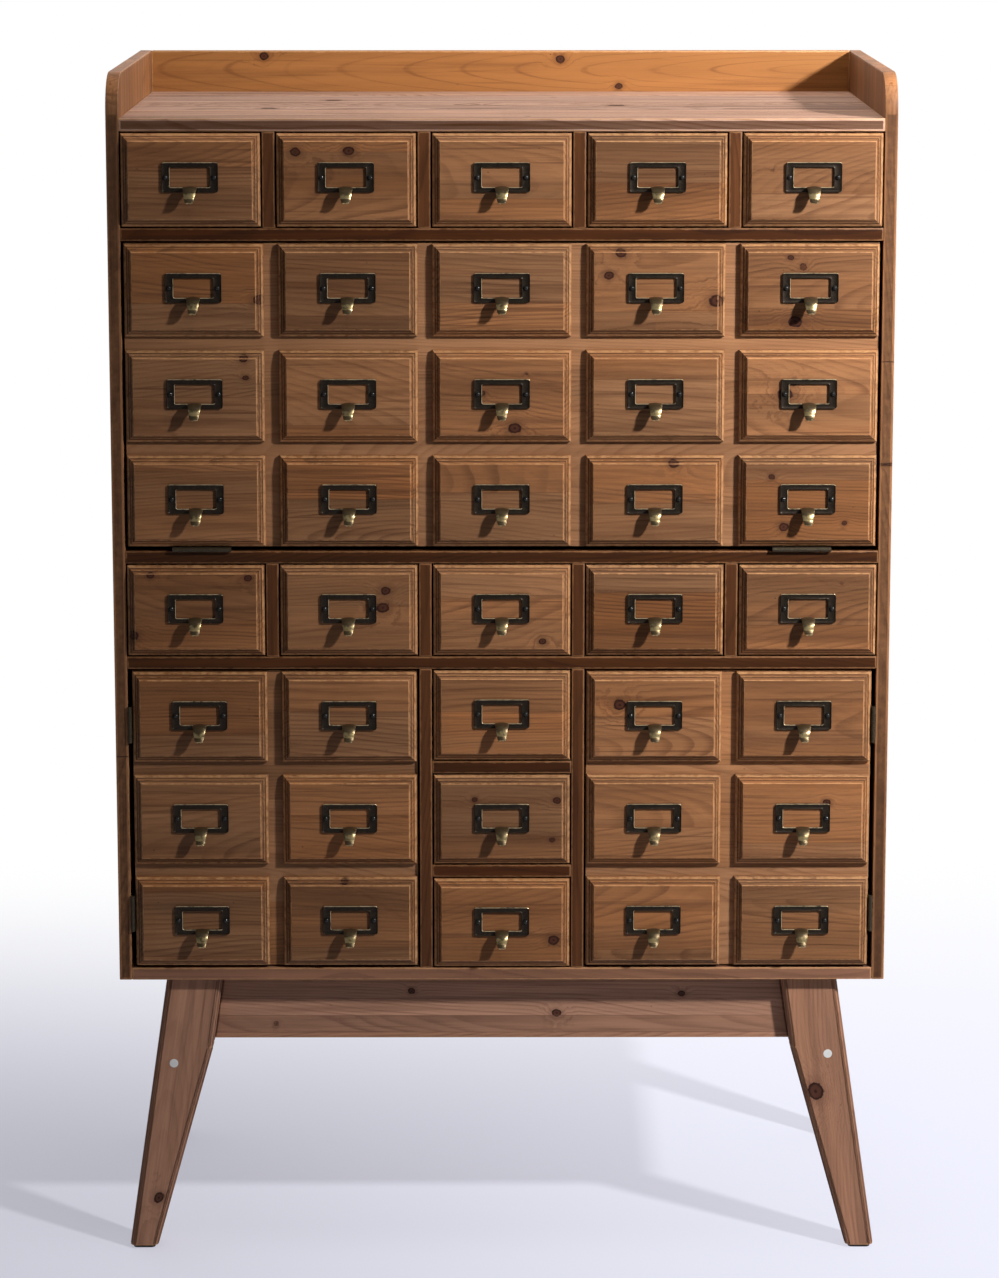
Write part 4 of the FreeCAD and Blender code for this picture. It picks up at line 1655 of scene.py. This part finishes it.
    def crown_tongue(self, obj: Object) -> None:
        """Arches the section that the tongue is drawn from.

        Args:
            obj: the flat section.
        """
        with Bench.editing(obj, everything=True):
            bpy.ops.mesh.subdivide(number_cuts=3)
        for share, lift in self.crown_lifts:
            aside = share * self.tongue_root / 2
            Bench.choose(
                obj, Pick.VERTICES, lambda place, normal: abs(abs(place.x - self.centre.x) - aside) < CLOSE
            )
            with Bench.editing(obj, Pick.VERTICES):
                bpy.ops.transform.translate(value=(0.0, 0.0, lift * self.tongue_crown))

    def taper(self, obj: Object, root_z: float) -> None:
        """Narrows the tongue ring by ring towards a round tip.

        Args:
            obj: the tongue.
            root_z: the height of the tongue's root.
        """
        half_root, half_tip = self.tongue_root / 2, self.tongue_tip / 2
        tip_z = min(vertex.co.z for vertex in obj.data.vertices)
        shoulder_z = tip_z + self.tip_round
        for vertex in obj.data.vertices:
            share = (root_z - vertex.co.z) / (root_z - shoulder_z)
            half = half_root + (half_tip - half_root) * min(max(share, 0.0), 1.0)
            if vertex.co.z < shoulder_z:
                up = vertex.co.z - tip_z
                corner = math.sqrt(max(self.tip_round**2 - (self.tip_round - up) ** 2, 0.0))
                half = half_tip - self.tip_round + corner
            share = (vertex.co.x - self.centre.x) / half_root
            vertex.co.x = self.centre.x + share * half

    def mark_tongue(self, obj: Object) -> None:
        """Marks the lip and the bend as worn bright with a painted highlight, the hollow and the root as dull
        with painted shade, and the right edge with a painted highlight.
        """
        places = Marks.points(obj)
        low, high = places[:, 2].min(), places[:, 2].max()
        share = (places[:, 2] - low) / (high - low)
        wear = np.interp(share, self.tongue_shares, self.tongue_wear_and_painted_light)
        aside = (places[:, 0] - self.centre.x) / (self.tongue_tip / 2)
        wear_with_lit_side = np.maximum(wear, self.tongue_lit_side_highlight)
        Marks.write(obj, Marks.WEAR, np.where(aside > self.tongue_side, wear_with_lit_side, wear))

    def build_screw(self, side: int) -> Object:
        """Models one domed screw head.

        Args:
            side: -1 for the left screw and 1 for the right one.

        Returns:
            The dressed screw head.
        """
        floor = self.centre.y - self.depth + self.recess
        place = Vector((self.centre.x + side * self.screw_spacing / 2, floor, self.centre.z))
        bpy.ops.object.select_all(action="DESELECT")
        bpy.ops.mesh.primitive_uv_sphere_add(
            segments=16,
            ring_count=8,
            radius=self.screw_radius,
            location=place,
            rotation=Bench.UPRIGHT,
        )
        obj = Bench.settle("pull_screw")
        with Bench.editing(obj, everything=True):
            bpy.ops.mesh.bisect(plane_co=place, plane_no=(0.0, 1.0, 0.0), clear_outer=True, use_fill=True)
        height = (floor - Marks.points(obj)[:, 1]) / self.screw_radius
        Marks.write(obj, Marks.WEAR, height * self.screw_wear)
        Bench.smooth(obj, degrees=60.0)
        dress(obj, SCREW_BLACK)
        return obj


@dataclass
class FrontMaker:
    """Models each size of front and the pull once, and sets copies in their places."""

    reference_drawer: str = "drawer_1_1"
    front_depth: float = 14.5 * MM
    drawer_foot: float = 1.2 * MM
    size_digits: int = 5
    masters: dict[tuple[float, ...], Object] = field(default_factory=dict)
    master_spaces: dict[tuple[float, ...], Block] = field(default_factory=dict)

    def __post_init__(self) -> None:
        """Models the pull on the first drawer front and keeps its place there."""
        self.reference = self.drawer_front(self.reference_drawer)
        pull = Block.of_node(self.reference_drawer + "_pull")
        model = LabelPull(Vector((self.reference.centre.x, self.reference.lo.y, 0.0)))
        model.centre.z = pull.hi.z - model.height / 2
        self.pull_rise = model.centre.z - self.reference.centre.z
        self.pull = model.build()

    def drawer_front(self, drawer: str) -> Block:
        """The box of a drawer's front, which starts a little above the drawer's sides."""
        space = Block.of_node(drawer)
        return space.cut(y1=space.lo.y + self.front_depth, z0=space.lo.z + self.drawer_foot)

    def set_front(self, row: int, column: int, space: Block, body: str, *nodes: str) -> None:
        """Sets a copy of a front in its place.

        Args:
            row: its row from the top.
            column: its column from the left.
            space: the front's box.
            body: the body that carries it.
            nodes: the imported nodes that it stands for.
        """
        size = tuple(round(length, self.size_digits) for length in space.size)
        name = f"front_{row}_{column}"
        if size not in self.masters:
            self.masters[size] = MouldedFront("moulded_front", space).build()
            self.master_spaces[size] = space
        shift = space.centre - self.master_spaces[size].centre
        obj = Bench.copy(self.masters[size], name, shift)
        Marks.seed(obj, name)
        Marks.knots(obj, FRONT_KNOTS.get((row, column), ()))
        enlist(obj, body, Slot.FRONT, *nodes)

    def set_pull(self, row: int, column: int, space: Block, body: str, *nodes: str) -> None:
        """Sets a copy of the pull on a front.

        Args:
            row: the front's row from the top.
            column: the front's column from the left.
            space: the front's box.
            body: the body that carries it.
            nodes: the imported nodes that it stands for.
        """
        shift = space.centre - self.reference.centre
        shift.y = space.lo.y - self.reference.lo.y
        name = f"pull_{row}_{column}"
        obj = Bench.copy(self.pull, name, shift)
        Marks.seed(obj, name)
        enlist(obj, body, Slot.PULL, *nodes)

    def clear_away(self) -> None:
        """Removes the masters once all copies are set."""
        for master in (self.pull, *self.masters.values()):
            bpy.data.objects.remove(master)


@dataclass
class Drawer:
    """A drawer box behind its front: two sides, a back and a bottom."""

    row: int
    column: int
    side: float = 9.0 * MM
    bottom: float = 4.0 * MM
    bottom_lift: float = 5.0 * MM
    bottom_rounding: float = 0.4 * MM
    side_drop: float = 12.3 * MM

    @property
    def body(self) -> str:
        """The body that the drawer rides on, which is also the name of its node."""
        return f"drawer_{self.row}_{self.column}"

    def build(self, maker: FrontMaker) -> None:
        """Sets the front, the pull and the box of the drawer.

        Args:
            maker: what the fronts and the pulls are copied from.
        """
        front = maker.drawer_front(self.body)
        maker.set_front(self.row, self.column, front, self.body, self.body)
        maker.set_pull(self.row, self.column, front, self.body, self.body + "_pull")
        box = self.build_box(Block.of_node(self.body).cut(y0=front.hi.y))
        enlist(box, self.body, Slot.DRAWER, self.body)

    def build_box(self, space: Block) -> Object:
        """Models the box.

        Args:
            space: the room behind the front.

        Returns:
            The dressed box, as one piece.
        """
        tall = space.cut(z1=space.hi.z - self.side_drop)
        left, right = tall.lo.x + self.side, tall.hi.x - self.side
        rear = tall.hi.y - self.side
        low = tall.lo.z + self.bottom_lift
        name = f"drawer_box_{self.row}_{self.column}"
        boards = [
            Board(name, tall.cut(x1=left), Grain.ALONG_Y, DRAWER_WOOD),
            Board(name + "_right", tall.cut(x0=right), Grain.ALONG_Y, DRAWER_WOOD),
            Board(name + "_back", tall.cut(x0=left, x1=right, y0=rear), Grain.ALONG_X, DRAWER_WOOD),
            Board(
                name + "_bottom",
                tall.cut(x0=left, x1=right, y1=rear, z0=low, z1=low + self.bottom),
                Grain.ALONG_X,
                DRAWER_WOOD,
                rounding=self.bottom_rounding,
            ),
        ]
        return Bench.join(*(board.build() for board in boards))


@dataclass
class DressedPanel:
    """A flap or door: a panel with rows of false fronts."""

    body: str
    first_row: int
    first_column: int
    columns: int

    def build(self, maker: FrontMaker) -> None:
        """Sets the panel, its fronts and its pulls.

        Args:
            maker: what the fronts and the pulls are copied from.
        """
        node = self.body + "_panel"
        panel = Board(node, Block.of_node(node), Grain.ALONG_X, PANEL_WOOD).build()
        enlist(panel, self.body, Slot.FRONT, node)
        for index, space in enumerate(solids_of(self.body + "_false_fronts")):
            row = self.first_row + index // self.columns
            column = self.first_column + index % self.columns
            maker.set_front(row, column, space, self.body, self.body + "_false_fronts")
            maker.set_pull(row, column, space, self.body, self.body + "_pulls")


@dataclass
class Case:
    """The case: sides, top, gallery, shelves, dividers and back."""

    body: str = "cabinet"
    curve_radius: float = 40.0 * MM
    # Painted shade on the front faces of the sides and the top, which darkens the edges that the key lamp
    # lights brightly.
    dark_fronts: dict[str, float] = field(
        default_factory=lambda: {"left_side_panel": 0.62, "right_side_panel": 0.60, "top_panel": 0.88}
    )

    def build(self) -> None:
        """Models every board of the case."""
        for node in ("left_side_panel", "right_side_panel"):
            self.set_board(node, node, Block.of_node(node), Grain.ALONG_Z, SIDE_WOOD, self.curve_radius)
        singles = (
            ("top_panel", Grain.ALONG_X, SHEENED_TOP_WOOD),
            ("gallery_board", Grain.ALONG_X, GALLERY_WOOD),
            ("bottom_panel", Grain.ALONG_X, BOTTOM_WOOD),
            ("back_panel", Grain.ALONG_Z, BACK_WOOD),
        )
        for node, grain, finish in singles:
            self.set_board(node, node, Block.of_node(node), grain, finish)
        groups = (
            ("shelf_boards", Grain.ALONG_X, RAIL_WOOD),
            ("drawer_dividers", Grain.ALONG_Z, DIVIDER_WOOD),
            ("lower_partitions", Grain.ALONG_Z, DIVIDER_WOOD),
            ("centre_shelves", Grain.ALONG_X, RAIL_WOOD),
        )
        for node, grain, finish in groups:
            for number, space in enumerate(solids_of(node), start=1):
                self.set_board(f"{node}_{number}", node, space, grain, finish)

    def set_board(
        self, name: str, node: str, space: Block, grain: Grain, finish: WoodFinish, curve: float = 0.0
    ) -> None:
        """Models one board and puts it on the case.

        Args:
            name: what the piece is called.
            node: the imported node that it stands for.
            space: the board's box.
            grain: the axis that its grain runs along.
            finish: its finish.
            curve: the radius of its upper front corner, or 0 for a square one.
        """
        dark_front = self.dark_fronts.get(name, 0.0)
        board = Board(name, space, grain, finish, curve_radius=curve, dark_front=dark_front).build()
        enlist(board, self.body, Slot.BACK if finish is BACK_WOOD else Slot.CASE, node)


@dataclass
class Leg:
    """A splayed leg: parallel edges down to the knee, then a taper to the foot."""

    node: str
    knee_z: float
    side: int
    # the name whose random draw sets the leg's tone
    tone_seed: str
    top_width: float = 58.0 * MM
    foot_width: float = 29.0 * MM
    chamfer: float = 4.0 * MM
    rounding: float = 0.8 * MM
    flat_angle: float = math.radians(0.5)
    long_edge: float = 10.0 * MM

    def build(self) -> Object:
        """Models the leg.

        Returns:
            The dressed leg.
        """
        space = Block.of_node(self.node)
        if self.side > 0:
            top_inner, foot_outer = space.lo.x, space.hi.x
        else:
            top_inner, foot_outer = space.hi.x, space.lo.x
        top_outer = top_inner + self.side * self.top_width
        lean = (foot_outer - top_outer) / (space.hi.z - space.lo.z)
        knee_shift = lean * (space.hi.z - self.knee_z)
        x0, x1 = sorted((top_inner, top_outer))
        obj = Bench.block(self.node, space.cut(x0=x0, x1=x1, z0=self.knee_z))
        Bench.choose(obj, Pick.FACES, lambda centre, normal: normal.z < -FACING)
        taper = self.foot_width / self.top_width
        with Bench.editing(obj):
            bpy.ops.transform.translate(value=(knee_shift, 0.0, 0.0))
            drop = (lean * (self.knee_z - space.lo.z), 0.0, space.lo.z - self.knee_z)
            bpy.ops.mesh.extrude_region_move(TRANSFORM_OT_translate={"value": drop})
            pivot = (foot_outer, space.centre.y, space.lo.z)
            bpy.ops.transform.resize(value=(taper, 1.0, 1.0), center_override=pivot)
        self.chamfer_edges(obj)
        with Bench.editing(obj, everything=True):
            bpy.ops.mesh.dissolve_limited(angle_limit=self.flat_angle)
        Bench.round_edges(obj, self.rounding)
        Board(self.node, space, Grain.ALONG_Z, LEG_WOOD).frame_faces(obj)
        Bench.smooth(obj, degrees=30.0)
        Marks.board(obj, space, Grain.ALONG_Z, -lean)
        Marks.seed(obj, self.tone_seed)
        Marks.knots(obj, BOARD_KNOTS.get(self.node, ()))
        dress(obj, LEG_WOOD)
        return obj

    def chamfer_edges(self, obj: Object) -> None:
        """Chamfers the long edges."""

        def is_long(a: Vector, b: Vector) -> bool:
            """Whether an edge runs down the leg."""
            return abs(a.y - b.y) < MM and abs(a.z - b.z) > self.long_edge

        Bench.choose(obj, Pick.EDGES, is_long)
        with Bench.editing(obj, Pick.EDGES):
            bpy.ops.mesh.bevel(offset=self.chamfer, segments=1, affect="EDGES")


@dataclass
class Stand:
    """The stand: four legs, four aprons, foot pads, and a paper dot on each front leg."""

    body: str = "cabinet"
    knee_below_apron: float = 6.0 * MM
    pad_corner: float = 4.0 * MM
    pad_facets: int = 4
    pad_rounding: float = 0.6 * MM
    # The right front leg draws its tone from the seed dark_leg, whose low tone is painted shade that keeps it
    # from looking lit brighter than the left front leg.
    painted_shade_seeds: dict[str, str] = field(default_factory=lambda: {"front_right_leg": "dark_leg"})
    dot_radius: float = 4.6 * MM
    dot_thickness: float = 0.3 * MM
    dot_rounding: float = 0.12 * MM
    dot_facets: int = 28
    dot_heights: dict[str, float] = field(default_factory=lambda: {"left": 205.0 * MM, "right": 215.0 * MM})
    dot_outwards: float = 5.0 * MM

    def build(self) -> None:
        """Models every piece of the stand."""
        aprons = solids_of("cross_aprons")
        knee_z = aprons[0].lo.z - self.knee_below_apron
        for place in ("front", "rear"):
            for hand, side in (("left", -1), ("right", 1)):
                node = f"{place}_{hand}_leg"
                leg = Leg(node, knee_z, side, self.painted_shade_seeds.get(node, node))
                enlist(leg.build(), self.body, Slot.LEG, node)
        inner_edge = Block.of_node("front_right_leg").lo.x
        for number, space in enumerate(aprons, start=1):
            name, top_share = f"cross_apron_{number}", inner_edge / space.hi.x
            apron = Board(name, space, Grain.ALONG_X, APRON_WOOD, top_share=top_share).build()
            enlist(apron, self.body, Slot.LEG, "cross_aprons")
        for number, space in enumerate(solids_of("side_aprons"), start=1):
            apron = Board(f"side_apron_{number}", space, Grain.ALONG_Y, LEG_WOOD).build()
            enlist(apron, self.body, Slot.LEG, "side_aprons")
        for number, space in enumerate(solids_of("foot_pads"), start=1):
            enlist(self.build_pad(f"foot_pad_{number}", space), self.body, Slot.PAD, "foot_pads")
        for hand, side in (("left", -1), ("right", 1)):
            enlist(self.build_dot(hand, side), self.body, Slot.PAD)

    def build_pad(self, name: str, space: Block) -> Object:
        """Models a foot pad with rounded corners.

        Args:
            name: what the piece is called.
            space: the pad's box.

        Returns:
            The dressed pad.
        """
        obj = Bench.block(name, space)
        Bench.choose(obj, Pick.EDGES, lambda a, b: abs(a.z - b.z) > MM)
        with Bench.editing(obj, Pick.EDGES):
            bpy.ops.mesh.bevel(offset=self.pad_corner, segments=self.pad_facets, affect="EDGES")
        Bench.round_edges(obj, self.pad_rounding)
        Bench.smooth(obj)
        dress(obj, PAD_PLASTIC)
        return obj

    def build_dot(self, hand: str, side: int) -> Object:
        """Models a blank paper dot stuck on a front leg.

        Args:
            hand: left or right.
            side: -1 for left and 1 for right.

        Returns:
            The dressed dot.
        """
        leg = Block.of_node(f"front_{hand}_leg")
        height = self.dot_heights[hand]
        share = (leg.hi.z - height) / leg.size.z
        inner = leg.lo.x if side > 0 else leg.hi.x
        outer = leg.hi.x if side > 0 else leg.lo.x
        top_middle = inner + side * 0.5 * Leg.top_width
        foot_middle = outer - side * 0.5 * Leg.foot_width
        middle = top_middle + (foot_middle - top_middle) * share
        place = Vector((middle + side * self.dot_outwards, leg.lo.y, height))
        bpy.ops.object.select_all(action="DESELECT")
        bpy.ops.mesh.primitive_cylinder_add(
            vertices=self.dot_facets,
            radius=self.dot_radius,
            depth=2 * self.dot_thickness,
            location=place,
            rotation=Bench.UPRIGHT,
        )
        obj = Bench.settle(f"paper_dot_{hand}")
        Bench.round_edges(obj, self.dot_rounding, 1)
        Bench.smooth(obj)
        dress(obj, DOT_PAPER)
        return obj


@dataclass
class Fittings:
    """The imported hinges, stays, catches and screws, which keep their solids."""

    finishes: tuple[tuple[str, MetalFinish], ...] = (
        ("case_hinge_leaves", HINGE_BRONZE),
        ("hinge_pins", HINGE_BRONZE),
        ("flap_hardware", HINGE_BRONZE),
        ("left_door_hardware", HINGE_BRONZE),
        ("right_door_hardware", HINGE_BRONZE),
        ("left_stay_arm", FITTING_STEEL),
        ("right_stay_arm", FITTING_STEEL),
        ("case_fittings", FITTING_STEEL),
    )

    def dress(self) -> None:
        """Gives each solid its finish."""
        for node, finish in self.finishes:
            dress(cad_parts[node], finish)
            LOG.info("%s keeps its solid and gets %s", node, finish.name)


@dataclass
class Studio:
    """A pale floor, a small key lamp at the upper right, soft fill, and the photograph's camera."""

    key_place: Vector = field(default_factory=lambda: Vector((1.75, -1.595, 2.06)))
    key_target: Vector = field(default_factory=lambda: Vector((1.2, -0.195, 1.29)))
    key_power: float = 38.5
    key_size: float = 0.2
    key_spread: float = math.radians(78)
    softbox_place: Vector = field(default_factory=lambda: Vector((0.1, -0.315, 2.91)))
    softbox_power: float = 25.0
    softbox_size: float = 1.2
    fill_level: float = 0.03
    back_level: float = 0.55
    fill_turn: Range = (-0.3, 0.5)
    dim_front: float = 0.12
    mirror_turn: Range = (0.1, 0.7)
    floor_size: float = 14.0
    floor_color: Color = (0.68, 0.69, 0.77, 1.0)
    floor_roughness: float = 0.8
    floor_glow: Color = (0.87, 0.875, 1.0, 1.0)
    floor_width: Range = (-1.0, 1.0)
    # painted light: how much white glow the floor near the object shows, from the left to the right
    floor_painted_light_shares: Range = (0.34, 0.84)
    floor_far: Range = (1.2, 3.2)
    floor_back: Range = (0.0, 1.3)
    white_back: Range = (0.1, 1.4)
    white: Color = (1.0, 1.0, 1.0, 1.0)
    camera_place: Vector = field(default_factory=lambda: Vector((-0.0131, -4.0090, 1.4978)))
    camera_yaw: float = 0.0028
    camera_pitch: float = 0.1641
    focal_pixels: float = 3786.7
    image_height: float = 1278.0
    shift_up: float = -0.15
    sensor: float = 36.0

    def set_up(self) -> None:
        """Builds the floor, the lights and the camera."""
        self.lay_floor()
        self.light_world()
        self.hang_lamps()
        self.place_camera()
        bpy.context.scene.view_settings.view_transform = "Standard"

    def lay_floor(self) -> None:
        """Lays a pale floor that turns white far from the object and behind it, with a painted pool of light
        that brightens it towards the right.
        """
        bpy.ops.object.select_all(action="DESELECT")
        bpy.ops.mesh.primitive_plane_add(size=self.floor_size)
        floor = bpy.context.active_object
        floor.name = "floor"
        material, graph, shader = new_material("pale_floor")
        shader.inputs["Base Color"].default_value = self.floor_color
        shader.inputs["Roughness"].default_value = self.floor_roughness
        place = graph.node("ShaderNodeTexCoord").outputs["Object"]
        aside, back, _ = graph.split(place)
        far = graph.ramp(graph.span(aside, back), *self.floor_far)
        rays, mirrored = self.rays(graph)
        # Painted light: the floor shows more of its white glow to the right, where the key lamp stands.
        painted_light_share = graph.ramp(aside, *self.floor_width, *self.floor_painted_light_shares)
        bare = graph.math("MAXIMUM", graph.ramp(back, *self.floor_back, painted_light_share, 1.0), far)
        shown = graph.math("MULTIPLY", rays["Is Camera Ray"], bare)
        mirrored = graph.math("MULTIPLY", mirrored, graph.ramp(back, *self.floor_back))
        glow = graph.node("ShaderNodeEmission")
        whitened = graph.math("MAXIMUM", graph.ramp(back, *self.white_back), far)
        graph.feed(glow.inputs["Color"], graph.mix(whitened, self.floor_glow, self.white))
        blend = graph.node("ShaderNodeMixShader")
        graph.feed(blend.inputs[0], graph.math("MAXIMUM", shown, mirrored))
        graph.feed(blend.inputs[1], shader.outputs[0])
        graph.feed(blend.inputs[2], glow.outputs[0])
        output = material.node_tree.nodes["Material Output"]
        graph.feed(output.inputs["Surface"], blend.outputs[0])
        floor.data.materials.append(material)

    @staticmethod
    def rays(graph: Graph) -> tuple[bpy.types.bpy_prop_collection, NodeSocket]:
        """Tells what kind of ray a shader is seen by.

        Args:
            graph: the shader's graph.

        Returns:
            The kinds of ray by name, and whether the ray comes from a mirror or through glass.
        """
        kinds = graph.node("ShaderNodeLightPath").outputs
        return kinds, graph.math("MAXIMUM", kinds["Is Glossy Ray"], kinds["Is Transmission Ray"])

    def light_world(self) -> None:
        """Lights the room softly: bright behind the object, and dim in front of it."""
        world = bpy.data.worlds.new("studio")
        bpy.context.scene.world = world
        world.use_nodes = True
        graph = Graph(world.node_tree)
        background = world.node_tree.nodes["Background"]
        rays, mirrored = self.rays(graph)
        _, back, _ = graph.split(graph.node("ShaderNodeTexCoord").outputs["Generated"])
        mirrored = graph.math("MULTIPLY", mirrored, graph.ramp(back, *self.mirror_turn, self.dim_front, 1.0))
        seen = graph.math("MAXIMUM", rays["Is Camera Ray"], mirrored)
        fill = graph.ramp(back, *self.fill_turn, self.fill_level, self.back_level)
        hidden = graph.math("SUBTRACT", 1.0, graph.math("MAXIMUM", seen, rays["Is Glossy Ray"]))
        graph.feed(background.inputs["Strength"], graph.math("MULTIPLY_ADD", fill, hidden, seen))
        background.inputs["Color"].default_value = self.white

    def hang_lamps(self) -> None:
        """Hangs the key lamp, small enough for crisp shadows, and a broad softbox overhead."""
        self.hang("key_lamp", self.key_place, self.key_target, self.key_power, self.key_size, self.key_spread)
        below = self.softbox_place - Vector((0.0, 0.0, 1.0))
        softbox = self.hang(
            "softbox", self.softbox_place, below, self.softbox_power, self.softbox_size, math.pi
        )
        softbox.visible_glossy = False

    def hang(
        self, name: str, place: Vector, target: Vector, power: float, size: float, spread: float
    ) -> Object:
        """Hangs one round lamp.

        Args:
            name: what the lamp is called.
            place: where it hangs.
            target: where it points.
            power: its power in watts.
            size: its diameter.
            spread: how wide its beam is, in radians.

        Returns:
            The lamp's object.
        """
        lamp = bpy.data.lights.new(name, "AREA")
        lamp.shape = "DISK"
        lamp.size = size
        lamp.energy = power
        lamp.spread = spread
        obj = bpy.data.objects.new(name, lamp)
        bpy.context.scene.collection.objects.link(obj)
        obj.location = place
        obj.rotation_euler = (target - place).to_track_quat("-Z", "Y").to_euler()
        return obj

    def place_camera(self) -> None:
        """Stands the camera where the photograph was taken from."""
        lens = bpy.data.cameras.new("camera")
        lens.sensor_fit = "AUTO"
        lens.sensor_width = self.sensor
        lens.lens = self.focal_pixels / self.image_height * self.sensor
        lens.shift_y = self.shift_up
        camera = bpy.data.objects.new("camera", lens)
        bpy.context.scene.collection.objects.link(camera)
        camera.location = self.camera_place
        camera.rotation_euler = (math.pi / 2 - self.camera_pitch, 0.0, -self.camera_yaw)
        bpy.context.scene.camera = camera


def main() -> None:
    """Builds the cabinet piece by piece and sets up the studio."""
    logging.basicConfig(level=logging.INFO, format="%(name)s: %(message)s")
    Case().build()
    Stand().build()
    maker = FrontMaker()
    for column in range(1, 6):
        Drawer(1, column).build(maker)
        Drawer(5, column).build(maker)
    for row in (6, 7, 8):
        Drawer(row, 3).build(maker)
    DressedPanel("flap", first_row=2, first_column=1, columns=5).build(maker)
    DressedPanel("left_door", first_row=6, first_column=1, columns=2).build(maker)
    DressedPanel("right_door", first_row=6, first_column=4, columns=2).build(maker)
    maker.clear_away()
    Fittings().dress()
    Studio().set_up()


if __name__ == "__main__":
    main()
